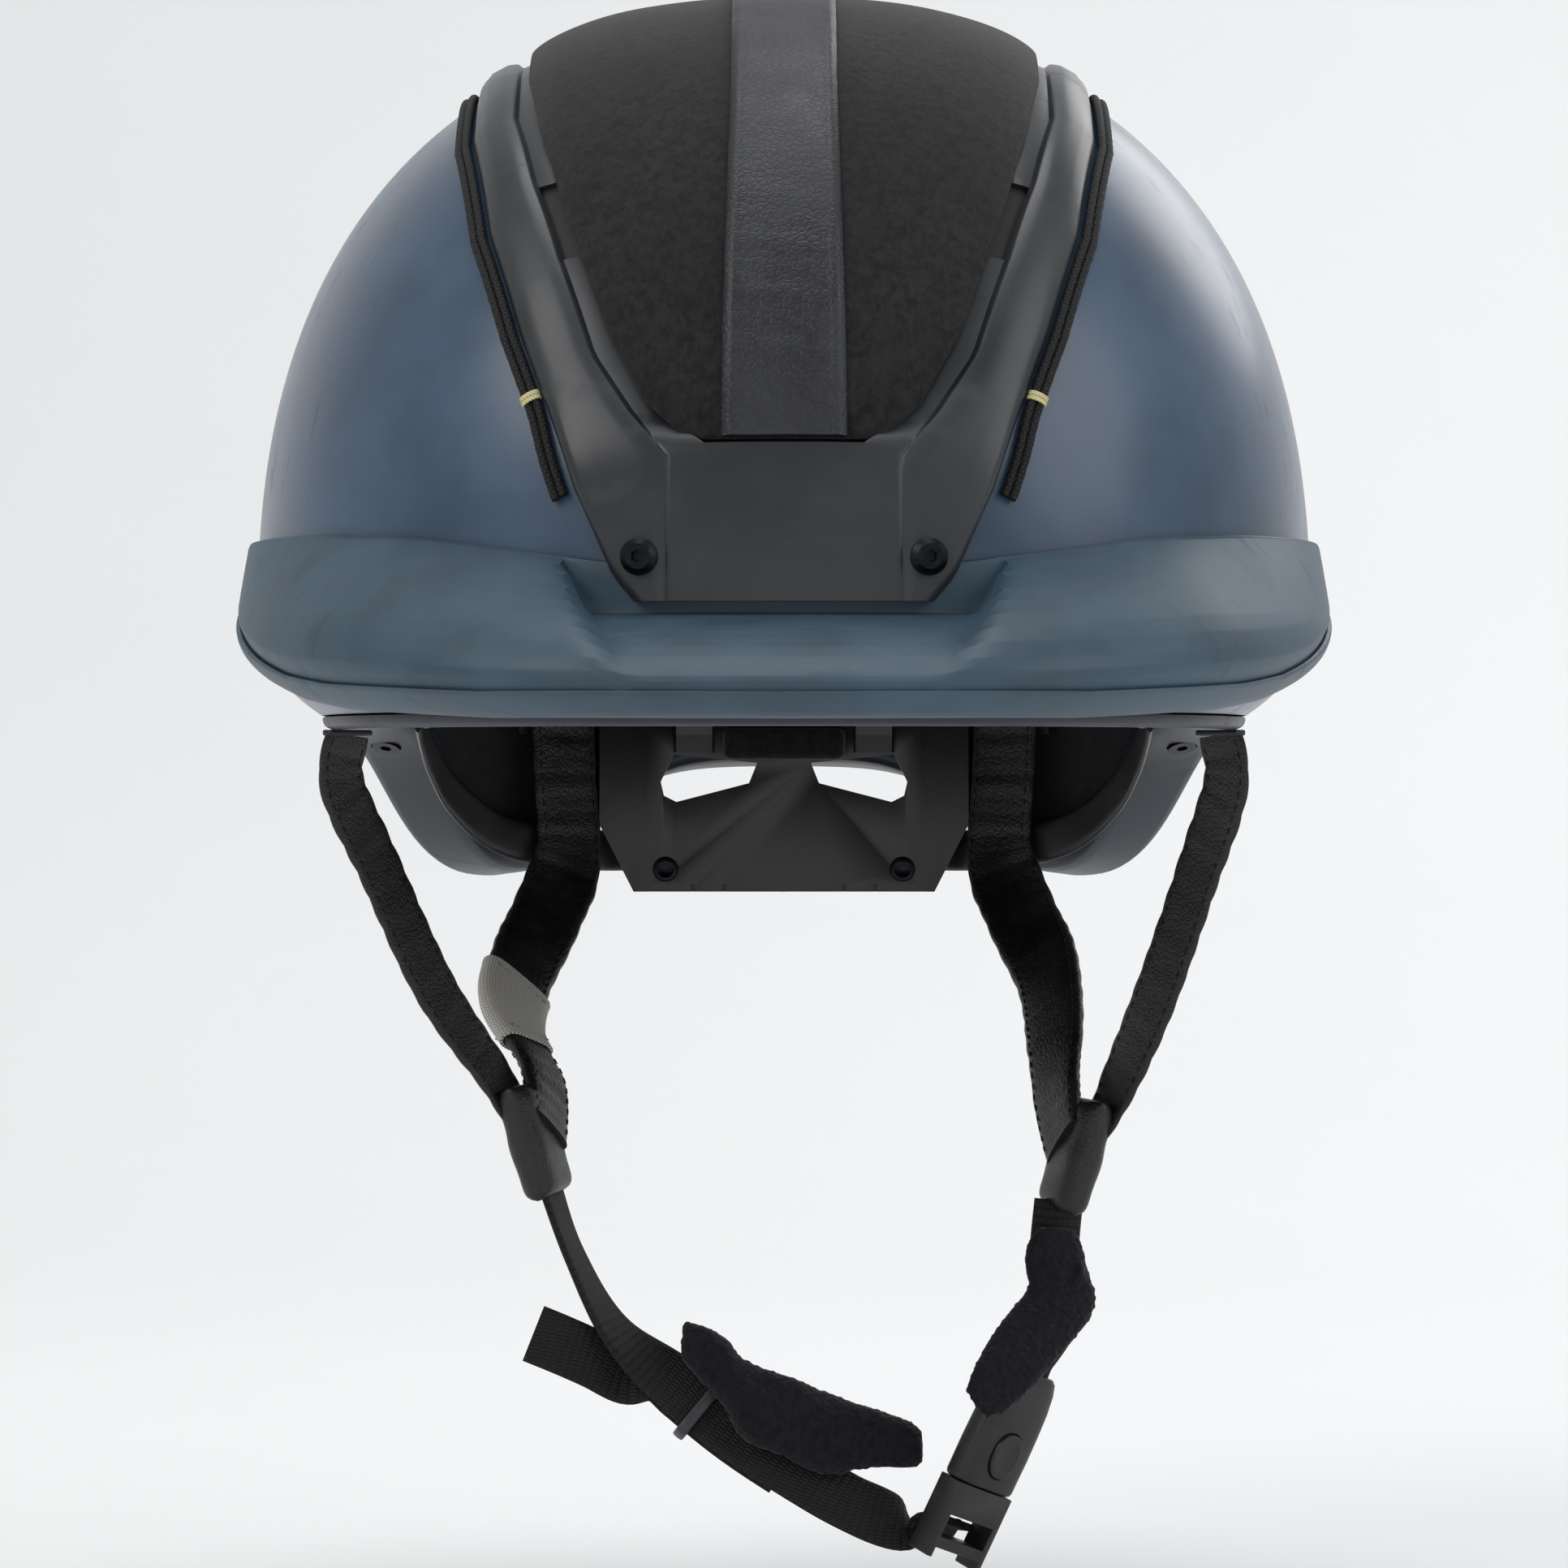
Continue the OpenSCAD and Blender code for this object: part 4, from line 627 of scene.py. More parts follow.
def cloth(name, colour, scale, depth, sheen):
    """Brushed or fleecy cloth."""
    m = Finish(name)
    n = m.effect("Nap", Scale=scale)
    base = np.array(linear(colour))
    tone = m.tint(n["Clump"], tuple(base * 0.55), tuple(base * 1.15 + 0.002))
    tone = m.tint(m.math("MULTIPLY", n["Fibre"], 0.35), tone, tuple(base * 1.9 + 0.012))
    tone = m.tint(m.math("MULTIPLY", n["Brushed"], 0.3), tone, tuple(base * 0.6))
    m.surface(Base_Color=tone, Roughness=0.92, Specular_IOR_Level=0.2, Sheen_Weight=sheen,
              Sheen_Roughness=0.5)
    return m.relief(n["Height"], depth).mat


def webbing(name, colour, ribs, threads, depth, rough):
    """Woven band: ribs along one texture direction, threads along the other."""
    m = Finish(name)
    w = m.effect("Ribbed weave", Coords=m.uv, Ribs=ribs, Threads=threads)
    base = np.array(linear(colour))
    tone = m.tint(w["Mask"], tuple(base * 0.35), tuple(base * 1.3 + 0.006))
    m.surface(Base_Color=tone, Roughness=rough, Specular_IOR_Level=0.35)
    return m.relief(w["Height"], depth).mat


def metal(name, colour, rough):
    """Blackened or bright metal with fine turning marks."""
    m = Finish(name)
    marks = m.noise(m.stretch(m.coords, 400, 400, 4000), 1.0, 2.0)
    base = np.array(linear(colour))
    m.surface(Base_Color=m.tint(m.ramp(marks, 0.35, 0.7), tuple(base), tuple(base * 1.3 + 0.004)),
              Metallic=1.0, Roughness=m.math("ADD", rough, m.math("MULTIPLY", marks, 0.15)))
    return m.relief(marks, 0.01).mat


def foam(name, colour):
    """Moulded bead foam: shallow rounded cells."""
    m = Finish(name)
    cell = m.add("ShaderNodeTexVoronoi", props={"feature": "SMOOTH_F1"}, Vector=m.coords,
                 Scale=330.0)
    base = np.array(linear(colour))
    tone = m.tint(m.ramp(cell, 0.1, 0.6), tuple(base * 1.3), tuple(base * 0.6))
    m.surface(Base_Color=tone, Roughness=0.8)
    return m.relief(m.math("SUBTRACT", 1.0, cell), 0.25).mat


def look():
    """The sizes and colours that the panel shows."""
    return bpy.context.scene.helmet_look


def chosen(key):
    """A colour from the panel as a hex code."""
    return getattr(look(), key)


FINISHES = {
    "Shell satin": lambda n: plastic(n, chosen("shell"), 0.34, 1300, 0.006, 0.25, 0.02, 0.04),
    "Bottom navy": lambda n: plastic(n, chosen("bottom"), 0.45, 1200, 0.01, 0.0, 0.05, 0.05),
    "Peak rubber": lambda n: plastic(n, chosen("peak"), 0.5, 1500, 0.02, 0.0, 0.03, 0.08),
    "Frame charcoal": lambda n: plastic(n, chosen("frame"), 0.38, 1400, 0.012, 0.1, 0.05, 0.06),
    "Carrier black": lambda n: plastic(n, "#0b0b0c", 0.6, 900, 0.03, 0.0, 0.1, 0.1),
    "Foam": lambda n: foam(n, "#131315"),
    "Cover microfibre": lambda n: cloth(n, chosen("cover"), 420, 0.09, 0.12),
    "Strip leather": lambda n: leather(n, chosen("strip"), 760, 0.42, 0.07),
    "Strap leatherette": lambda n: leather(n, chosen("strap"), 900, 0.4, 0.06),
    "Strap padded": lambda n: leather(n, chosen("strap"), 800, 0.42, 0.08),
    "Black stitching": lambda n: webbing(n, "#141416", 9000, 9000, 0.05, 0.6),
    "Screw black": lambda n: metal(n, "#202124", 0.3),
    "Cord braid": lambda n: webbing(n, "#101012", 3600, 2400, 0.2, 0.7),
    "Gold thread": lambda n: webbing(n, chosen("thread"), 9000, 2000, 0.06, 0.6),
    "Padding knit": lambda n: cloth(n, "#0e0e12", 420, 0.2, 0.15),
    "Gasket rubber": lambda n: plastic(n, "#0c0c0d", 0.5, 900, 0.02, 0.0, 0.1, 0.1),
    "Label cloth": lambda n: webbing(n, "#b5b2a9", 5200, 5200, 0.06, 0.85),
    "Webbing": lambda n: webbing(n, chosen("webbing"), 1700, 3900, 0.3, 0.7),
    "Keeper rubber": lambda n: plastic(n, "#2c2d31", 0.45, 1600, 0.02),
    "Fleece": lambda n: cloth(n, chosen("fleece"), 620, 0.4, 0.12),
    "Buckle plastic": lambda n: plastic(n, "#151516", 0.42, 2200, 0.03, 0.0, 0.15, 0.1),
    "Button plastic": lambda n: plastic(n, "#131315", 0.34, 1800, 0.015, 0.0, 0.1, 0.05),
    "Spring steel": lambda n: metal(n, "#b4b4b8", 0.25),
    "Cradle nylon": lambda n: plastic(n, "#101012", 0.4, 1500, 0.02, 0.0, 0.1, 0.1),
    "Pinion acetal": lambda n: plastic(n, "#dcd8cc", 0.4, 1500, 0.02),
}


def finish_named(name):
    """The material of that name, made when it is first asked for."""
    return bpy.data.materials.get(name) or FINISHES[name](name)


# ---- Shell, peak and frame ----------------------------------------------------------------

FRAME_EDGE = line([[0.5, 28], [2.5, 32], [5, 34.5], [10, 39.5], [17, 44.5], [24.5, 50], [36, 56.5],
                   [52, 61], [90, 62], [125, 57], [145, 48], [158, 38], [164, 30]])
LEDGE_EDGE = line([[12, 22], [16, 29], [21.5, 36.5], [31, 43], [40.5, 48.5], [52, 53], [90, 54.5],
                   [125, 49], [140, 40], [150, 31], [164, 24]])
COVER_EDGE = line([[12.5, 15.8], [16.5, 25.6], [23, 33.5], [29, 37.8], [37, 42.8], [47, 47.5],
                   [58, 50.5], [90, 51.5], [125, 46], [139, 36], [147, 22]])
FRAME_T, LEDGE_DROP, COVER_LAP = 2.6, 1.4, 2.0
OPEN_FROM, OPEN_TO, SLOT_FROM, SLOT_TO = 13, 147, 31, 40
COVER_LOW, COVER_HIGH, COVER_T = 3.4, 4.6, 1.2
CORD_D = 1.7
PEAK_END = 82


def is_vent(az, el):
    """True inside the four air vents, two in front and two behind."""
    s = side(az)
    t = np.minimum(s, 180 - s)
    return (t > 3) & (t < 15) & (el > 24) & (el < 54)


def dome(name, lifts, tucks, rise):
    """Two superellipsoid skins from edge to crown, joined at the edge and round the vents."""
    az = np.arange(0, 360, 1.5)
    rows = np.r_[np.linspace(-1, 0, 15)[:-1], np.arange(0, 90.1, 1.5)]
    a, r = az[:, None], rows[None]
    outer = dome_pt(a, r, lifts[0], tucks[0])
    inner = dome_pt(a, r, lifts[1], tucks[1], rise)
    keep = ~is_vent(a + 0.75, (rows[:-1] + rows[1:])[None] / 2)
    return Solid().skins(outer, inner, keep, wrap=True).object(name, 30)


def bottom_shell_mesh():
    """A twelve-point section with eased corners, carried round the lower edge."""
    az = np.arange(0, 360, 1.5)
    z = edge_z(az)
    ro = plan_r(az, 0) * math.sqrt(1 - EDGE_TUCK ** 2)
    ri, rt = inner_r(az, z, LIP_IN), inner_r(az, z + 6, LIP_IN)
    low, high = z - RIM_T, z - RIM_T + 1
    section = [(ro, z - GAP), (ro - 0.5, low + 0.9), (ro - 2.4, low), (ri + 3.4, high),
               (ri + 0.9, high + 0.8), (ri, high + 2.8), (rt, z + 6), (rt + 1.5, z + 6),
               (ri + 1.5, high + 3.2), (ri + 3.8, high + 1.5), (ro - 3, low + 1.5),
               (ro - 1.6, z - GAP)]
    p = eased(np.stack([np.stack(q, -1) for q in section], 1), 0.6)
    ring = at(az[:, None], p[..., 0], p[..., 1])
    return Solid().grid(ring, True, True).object("Bottom_shell", 50)


def drilled(obj, places, radius, depth):
    """Cuts round holes; each place is a point and its axis."""
    for where, axis in places:
        bpy.ops.mesh.primitive_cylinder_add(vertices=48, radius=radius * MM, depth=depth * MM)
        tool = bpy.context.object
        turn = Vector(axis).to_track_quat("Z", "Y").to_matrix().to_4x4()
        turn.translation = Vector(where) * MM
        tool.data.transform(turn)
        tool.matrix_world.identity()
        mod = obj.modifiers.new("Hole", "BOOLEAN")
        mod.operation, mod.solver, mod.object = "DIFFERENCE", "EXACT", tool
        settle(obj)
        bpy.data.objects.remove(tool)
    return obj


def rim_screw_places():
    """Points and axes of the screws beside the ears."""
    found = []
    for s in (-1, 1):
        a, b = s * 113.0, s * 117.0
        r = (radius_at(a, edge_z(a), 0) + plan_r(a, LIP_IN)) / 2
        slope = (edge_z(b) - edge_z(a)) / (r * math.radians(4))
        t = math.radians(113)
        down = np.cross(vec(s * math.cos(t), math.sin(t), slope),
                        vec(s * math.sin(t), -math.cos(t), 0))
        found.append((at(a, r, edge_z(a) - RIM_T + 0.6), -np.sign(down[2]) * unit(down)))
    return found


def peak_mesh():
    """A closed profile for each azimuth: flange on the shell, slope, rounded lip, underside.

    Between the ridges the slope starts lower, so the middle lies sunk, and the ridges draw
    together towards the lip."""
    az = np.arange(-PEAK_END, PEAK_END + 0.1, 1.0)
    s = side(az)
    tip = np.clip((s - 68) / (PEAK_END + 1 - 68), 0, 1) ** 2
    top = line([[0, 27], [15, 29], [25, 32], [32, 34], [46, 35.5], [60, 36], [90, 36]])(s) - 7 * tip
    rim = line([[0, -1], [20, -0.8], [36, 1.2], [44, 3.2], [52, 6.8], [60, 11], [70, 16.8],
                [90, 24]])(s)
    lip, wall = 4.6, 3.0
    zl = np.minimum(rim, top - lip - 2.5)
    foot = np.maximum(top - 17 * (1 - 0.55 * tip), edge_z(az) + 5)
    out = ((np.abs(np.sin(np.radians(az))) / (SHELL_W + 3.2)) ** 2.6
           + (np.abs(np.cos(np.radians(az))) / (SHELL_L + 50)) ** 2.6) ** (-1 / 2.6)
    close = np.sqrt(np.maximum(0, 1 - (s / (PEAK_END + 1)) ** 10))
    p = np.maximum(wall + 0.8, (out - plan_r(az, 0)) * close)
    g = GAP + 0.1
    f = g + 2
    bulge = 2.5 * np.clip(p / 30, 0, 1)

    def start(t):
        """Height where the slope leaves the flange: low between the ridges."""
        return 19 + (top - 0.6 - 19) * ease((s - (15.6 - 7.5 * t)) / 2.6)

    def over(t):
        z = start(t) * (1 - t) + (zl + lip) * t + bulge * math.sin(math.pi * t)
        return f + (p - f) * t, z

    def under(t):
        z = (start(t) - 1) * (1 - t) + (zl + 1) * t + bulge * math.sin(math.pi * t) - wall
        return f + (p - f) * t - 0.4, z

    profile = [(g + 0 * az, top + (foot - top) * t) for t in (0.75, 0.5, 0.25, 0)]
    profile += [(f + 0 * az - 1.1 * ease(1 - 2 * t) * ease((s - 40) / 20),
                 top - 0.2 + (start(0) - top + 0.2) * t) for t in (0, 0.35, 0.7, 1)]
    profile += [over(t) for t in (0.05, 0.12, 0.2, 0.3, 0.4, 0.5, 0.6, 0.7, 0.8, 0.87)]
    profile += [(p - 0.07 * p - 0.6, over(0.92)[1]), (p - 1.7, zl + lip - 0.1),
                (p - 0.9, zl + lip + 0.35), (p, zl + lip - 0.5), (p + 0.1, zl + lip * 0.5),
                (p, zl + 0.8), (p - 0.9, zl), (p - np.minimum(2.4, p * 0.45), zl)]
    profile += [under(t) for t in (0.8, 0.6, 0.4, 0.2, 0.08)]
    profile += [(f + 0 * az, np.minimum(foot + 1, start(0) - wall - 2)), (f + 0 * az, foot),
                (g + 0 * az, foot)]
    q = eased(np.stack([np.stack(v, -1) for v in profile], 1), 0.4)
    pts = at(az[:, None], radius_at(az[:, None], q[..., 1], 0) + q[..., 0], q[..., 1])
    return Solid().tube(pts).object("Peak", 38)


def frame_base(th):
    """Lift of the frame's underside: over the peak's flange in front, then on the shell."""
    return 3.0 + (GAP - 3.0) * ease((th - 11) / 9)


def centre_frame_mesh():
    """Grid over the crown: rounded arms, a sunk ledge inside them, an opening and two slots."""
    th = np.r_[0.5, np.arange(1, 164.1, 1.0)]
    e, ledge, x = FRAME_EDGE(th), LEDGE_EDGE(th), COVER_EDGE(th) - COVER_LAP
    t = frame_base(th) + FRAME_T
    d = LEDGE_DROP * ease((th - OPEN_FROM) / 1.5) * ease((OPEN_TO - th) / 1.5)
    arm = 0.5 * ease((th - 12) / 6) * ease((152 - th) / 6)
    cols = [(e, t - 1.5), (e - 0.3, t - 0.7), (e - 0.9, t - 0.2), (e - 1.8, t + arm * 0.3),
            (e * 0.7 + ledge * 0.3, t + arm), (e * 0.3 + ledge * 0.7, t + arm), (ledge + 0.7, t),
            (ledge + 0.1, t - 0.3), (ledge - 0.4, t - np.minimum(d, 0.9)), (ledge - 1, t - d),
            (x + 0.5, t - d), (x, t - d - 0.2 * (d > 0)), (x / 2, t), (0 * x, t)]
    left = [(-a, b) for a, b in cols]
    both = left + cols[-2::-1]
    xs = np.stack([q[0] for q in both], 1)
    lifts = np.stack([q[1] for q in both], 1)
    outer = over_pt(th[:, None], xs, lifts)
    inner = over_pt(th[:, None], xs, frame_base(th)[:, None])
    mid = ((th[:-1] + th[1:]) / 2)[:, None]
    k = np.minimum(np.arange(26), 25 - np.arange(26))[None]
    opening = (k >= 11) & (mid > OPEN_FROM) & (mid < OPEN_TO)
    slots = (k == 9) & (mid > SLOT_FROM) & (mid < SLOT_TO)
    return Solid().skins(outer, inner, ~(opening | slots)).object("Centre_frame", 38)


def cover_lift(th, f, low, high):
    """Lift from low at the edges and both ends to high in the middle."""
    ends = ease((th - 13.2) / 5) * ease((146.5 - th) / 5)
    return low + (high - low) * (1 - np.abs(f) ** 5) * ends


def vent_cover_mesh():
    """Crowned cloth whose thickness falls as an oval to its turned-in edge, with faint ripples."""
    th = np.r_[13.5, 13.8, 14.4, np.arange(15.5, 145.1, 1.0), 145.4, 145.8, 146][:, None]
    f = np.sin(np.linspace(-1, 1, 61) * math.pi / 2)[None]
    x = f * COVER_EDGE(th)
    ends = np.clip(np.minimum(th - 13.4, 146.1 - th) / 1.5, 0, 1)
    thick = COVER_T * np.sqrt(np.clip(1 - np.abs(f) ** 14, 0.02, 1)) * np.sqrt(ends)
    ripple = (0.10 * np.sin(th / 5.1 + 2 * f) * np.sin(th / 13 + 5 * f)
              + 0.06 * np.sin(th / 2.3 - 7 * f) * np.sin(9 * f)) * (1 - f ** 6)
    lift = cover_lift(th, f, COVER_LOW, COVER_HIGH)
    outer = over_pt(th, x, lift + thick + ripple)
    return Solid().skins(outer, over_pt(th, x, lift)).object("Vent_cover", 60)


def strip_half(th):
    """Half width of the leather strip, a little wider towards its lower front end."""
    return 10.3 + 1.5 * ease((50 - th) / 36)


def strip_top(th, f):
    """Lift of the strip's face: rolled edges, and creases that die out above the lower end."""
    x = f * strip_half(th)
    roll = 0.45 * np.exp(-((np.abs(f) - 0.86) / 0.09) ** 2)
    low = ease((44 - th) / 26)
    crease = low * (0.22 * np.sin(th * 2.1 + 1.5 * f) * np.sin(th * 0.7 + 3)
                    + 0.12 * np.sin(th * 4.3 - 4 * f)) * (1 - f ** 4)
    round_off = np.sqrt(np.clip(1 - np.abs(f) ** 10, 0.03, 1))
    base = cover_lift(th, x / COVER_EDGE(th), COVER_LOW, COVER_HIGH) + COVER_T + GAP
    return base, base + (1.1 + roll + crease) * round_off


def leather_strip_mesh():
    """Strip over the crown's middle, on the cover."""
    th = np.r_[13.5, 13.9, np.arange(14.5, 145.6, 0.6), 146][:, None]
    f = np.sin(np.linspace(-1, 1, 33) * math.pi / 2)[None]
    base, top = strip_top(th, f)
    x = f * strip_half(th)
    return Solid().skins(over_pt(th, x, top), over_pt(th, x, base)).object("Leather_strip", 60)


def slot_shade_sheet_mesh():
    """Painted shade: black skins on the shell under the two open slots between frame and cover,
    standing in for the opening into the black interior and the shade inside it.
    """
    th = np.linspace(SLOT_FROM - 1.5, SLOT_TO + 1.5, 12)[:, None]
    shade_sheet = Solid()
    for s in (-1, 1):
        width = FRAME_EDGE(th) - COVER_EDGE(th) + 1
        x = s * (COVER_EDGE(th) - 3 + np.linspace(0, 1, 6)[None] * width)
        shade_sheet.skins(over_pt(th, x, 0.5), over_pt(th, x, 0.05))
    return shade_sheet.object("Slot_shade_sheet", 40)


def cord_line(th):
    """Middle of a cord outside the frame's arm."""
    x = (FRAME_EDGE(th) + CORD_D + GAP + 0.35 + 0.8 * ease((18 - th) / 6)
         + 0.6 * ease((th - 140) / 6))
    return x, CORD_D / 2 + GAP


def elastic_cord_mesh(s, name):
    """Two round strands side by side, each a circle carried along the groove."""
    th = np.arange(9.5, 150.1, 0.5)
    x, lift = cord_line(th)
    middle = over_pt(th, s * x, lift)
    o = outward(middle)
    t = frames(middle, o)[0]
    across = unit(np.cross(o, t))
    a = np.linspace(0, 2 * math.pi, 12, endpoint=False)
    solid = Solid()
    for k in (-1, 1):
        spread = np.full(len(th), CORD_D / 2)
        path = middle + k * across * spread[:, None]
        r = CORD_D / 2 * (1 + 0.05 * np.sin(np.arange(len(th)) * 2.1 + k))
        outline = np.stack([np.cos(a), np.sin(a)], -1)[None] * r[:, None, None]
        solid.tube(carried(path, o, outline))
    return solid.object(name, 60)


def whipping_mesh():
    """Thread wound twice round each pair of strands: an oval helix."""
    solid = Solid()
    for s in (-1, 1):
        q = over_pt(18.5, s * cord_line(18.5)[0], cord_line(18.5)[1])
        o = outward(q)
        t = unit(over_pt(19.5, s * cord_line(19.5)[0], cord_line(19.5)[1]) - q)
        x = unit(np.cross(o, t))
        for shift in (-0.85, 0.15):
            w = np.linspace(0, 2 * math.pi * 1.9, 90)[:, None]
            path = (q + x * np.cos(w) * (CORD_D + 0.2) + o * np.sin(w) * (CORD_D / 2 + 0.2)
                    + t * (shift + w / (2 * math.pi) * 0.42))
            a = np.linspace(0, 2 * math.pi, 8, endpoint=False)
            solid.tube(carried(path, t, np.stack([np.cos(a), np.sin(a)], -1) * 0.26))
    return solid.object("Cord_whippings", 60)


# ---- Harness ------------------------------------------------------------------------------

FRONT_W, REAR_W, REAR_T, WEB_W, WEB_T = 13.0, 16.0, 2.8, 12.5, 1.6
EXIT = at(78.0, radius_at(78.0, edge_z(78.0), -6), edge_z(78.0) - RIM_T)
JOIN_L, JOIN_R = vec(51.5, 8, -88), vec(60.5, 8, -91)
WIDE_JOIN, OUT_JOIN = vec(-0.3, 0.95, 0), vec(0.95, 0.3, 0)
MIRROR = vec(-1, 1, 1)
BUCKLE_AT = vec(40.2, 0, -158.7)
BUCKLE_W, BUCKLE_T, BUCKLE_L = 17.0, 7.6, 26.0
BAR_Z, CAVE_L, BUTTON_Z = -13.5, 17.0, 8.0
_T, _R = math.radians(25), math.radians(42)
BUCKLE_X = vec(math.cos(_R) * math.cos(_T), math.sin(_R), -math.cos(_R) * math.sin(_T))
BUCKLE_Y = vec(-math.sin(_R) * math.cos(_T), math.cos(_R), math.sin(_R) * math.sin(_T))
BUCKLE_Z = vec(math.sin(_T), 0, math.cos(_T))


def on_buckle(x, y, z):
    """A point given along the buckle's own axes."""
    return BUCKLE_AT + x * BUCKLE_X + y * BUCKLE_Y + z * BUCKLE_Z


def in_buckle(p):
    """Points given along the buckle's own axes, carried to their place."""
    return BUCKLE_AT + p @ np.stack([BUCKLE_X, BUCKLE_Y, BUCKLE_Z])


def front_points(join, bow):
    """Middle line and widths of a front strap, from the rim to the junction."""
    turn = vec(-0.62, 0.78, 0)
    b = vec(bow, 0, 0)
    points = [EXIT + vec(0, 0, -0.95), EXIT + vec(1.2, 0.5, -11), EXIT + (join - EXIT) * 0.32 + b,
              EXIT + (join - EXIT) * 0.62 + b, join + 2.3 * OUT_JOIN + vec(6, -2.5, 13),
              join + 2.3 * OUT_JOIN + vec(0, 0, 1)]
    return points, [turn, turn, turn, turn, vec(-0.5, 0.86, 0), WIDE_JOIN]


def rear_points(join):
    """Middle line and widths of a rear strap, from beside the cradle to the junction."""
    start = vec(49, 82, 2)
    points = [start, start + vec(-0.5, -1.5, -14), vec(47.6, 78, -29), vec(51.8, 67, -41.5),
              vec(56.8, 48.5, -53.5), vec(57.6, join[1] + 20, join[2] + 25),
              vec(min(join[0] - 0.5, 57.5), join[1] + 10, join[2] + 14),
              join - 2 * OUT_JOIN + vec(0, 0, 3)]
    wides = [vec(0.85, -0.53, 0), vec(0.85, -0.53, 0), vec(0.85, -0.5, 0), vec(0.82, -0.1, 0.1),
             vec(0.72, -0.3, 0.5), vec(0.68, -0.55, 0.45), vec(0.5, -0.8, 0.3), -WIDE_JOIN]
    return points, wides


STRAP_STEPS = 16


def sewn_strap(name, points, wides, w, t, crown, scallop, inset, flip):
    """A crowned band along a curve, its edges waved, with stitches inside both edges.

    Edge wave: half width * (1 + scallop * |sin|); cross wrinkles: thickness * (1 + small sine)."""
    path, wide = curve(points, STRAP_STEPS), curve(wides, STRAP_STEPS)
    s = np.r_[0, np.cumsum(np.linalg.norm(np.diff(path, axis=0), axis=-1))]
    o = widened(band(w, t, crown, 13), 1 + scallop * (np.abs(np.sin(s * math.pi / 7)) - 0.6))
    o[..., 1] *= (1 + 0.10 * np.sin(s * 1.1) * np.sin(s * 0.31))[:, None]
    path, wide = path * (flip, 1, 1), wide * (flip, 1, 1)
    strap = Solid().tube(carried(path, wide, o)).object(name, 50)
    _, x, y = frames(path, wide)
    stitches = Solid()
    for edge in (-1, 1):
        for face in (-1, 1):
            line_of = path + x * edge * (w / 2 - inset) + y * face * (t / 2 * 0.93 + crown * 0.35)
            sewn(stitches, line_of[3:-3], y[3:-3] * face, look().stitch_pitch, 1.7, 0.26)
    return strap, stitches.object(name + "_stitching", 60)


def label_mesh():
    """Cloth sleeve round the left rear strap: an outer and an inner band outline."""
    points, wides = rear_points(JOIN_L)
    path, wide = curve(points, 16) * MIRROR, curve(wides, 16) * MIRROR
    part = slice(68, 89)
    path, wide = path[part], wide[part]
    n = len(path)
    hem = 1 + 0.02 * np.exp(-np.minimum(np.arange(n), np.arange(n)[::-1]) / 1.2)
    outer = carried(path, wide, widened(band(REAR_W + 2.0, REAR_T + 1.9, 0.2, 13), hem))
    inner = carried(path, wide, band(REAR_W + 0.7, REAR_T + 0.7, 0.2, 13))
    label = Solid().skins(outer.transpose(1, 0, 2), inner.transpose(1, 0, 2), wrap=True).object(
        "Strap_label", 50)
    _, x, y = frames(path, wide)
    stitches = Solid()
    for k in (2, n - 3):
        f = np.linspace(-REAR_W / 2 + 0.6, REAR_W / 2 - 0.6, 12)[:, None]
        for face in (-1, 1):
            sewn(stitches, path[k] + x[k] * f + y[k] * face * 2.45,
                 np.repeat(y[k:k + 1] * face, 12, 0), 1.9, 1.3, 0.2)
    return label, stitches.object("Strap_label_stitching", 60)


def junction_mesh(name, join, lean, flip):
    """Sewn block where the straps meet: a pillow-shaped band, its ends drawn in."""
    points = np.array([join + vec(lean, 1, 12), join + vec(lean * 0.3, 0.5, 2),
                       join + vec(-lean * 0.8, 0.5, -11)])
    path = curve(points, 14) * (flip, 1, 1)
    f = np.linspace(-1, 1, len(path))
    swell = np.sqrt(np.clip(1 - np.abs(f) ** 6, 0.05, 1))
    o = widened(band(REAR_W + 2.4, 7.0, 0.5, 15), 0.9 + 0.1 * swell)
    o[..., 1] *= (swell * (1 + 0.05 * np.sin(f * 9)))[:, None]
    wide = WIDE_JOIN * (flip, 1, 1)
    block = Solid().tube(carried(path, wide, o)).object(name, 60)
    _, x, y = frames(path, wide)
    stitches = Solid()
    for face in (-1, 1):
        for edge in (-1, 1):
            lift = (3.42 * swell * (1 + 0.05 * np.sin(f * 9)))[:, None]
            sewn(stitches, (path + x * edge * 5.6 + y * face * lift)[4:-4], y[4:-4] * face,
                 2.3, 1.6, 0.22)
        for k in (5, 14, -6):
            across = np.linspace(-5.6, 5.6, 12)[:, None]
            sewn(stitches, path[k] + x[k] * across + y[k] * face * lift[k],
                 np.repeat(y[k:k + 1] * face, 12, 0), 2.3, 1.6, 0.22)
    return block, stitches.object(name + "_stitching", 60)


CHIN_WIDE = vec(0.35, 0.4, 0.85)
SIDE_L = vec(0.3, 0.95, 0)
CHIN_POINTS = [JOIN_L * MIRROR + vec(2.5, 0.5, -9), vec(-44, 7.5, -111), vec(-35, 4.5, -127),
               vec(-21, 2.2, -139), vec(-9, 1.2, -148.5), vec(5, 0.3, -157.5),
               vec(16, -0.5, -163.5),
               on_buckle(0, BUCKLE_T / 2 + 4.3, BAR_Z - 0.5),
               on_buckle(0, BUCKLE_T / 2 + 2.4, BAR_Z + 2.6), on_buckle(0, 1.4, BAR_Z + 4.4)]
CHIN_WIDES = [SIDE_L, vec(0.2, 0.95, 0.15), vec(0.25, 0.85, 0.4), CHIN_WIDE, CHIN_WIDE, CHIN_WIDE,
              vec(0.62, 0.42, 0.5), BUCKLE_X, BUCKLE_X, BUCKLE_X]
CHIN_N = 12
PAD_LEAN = (-2.9, 0.153, 0.4075)
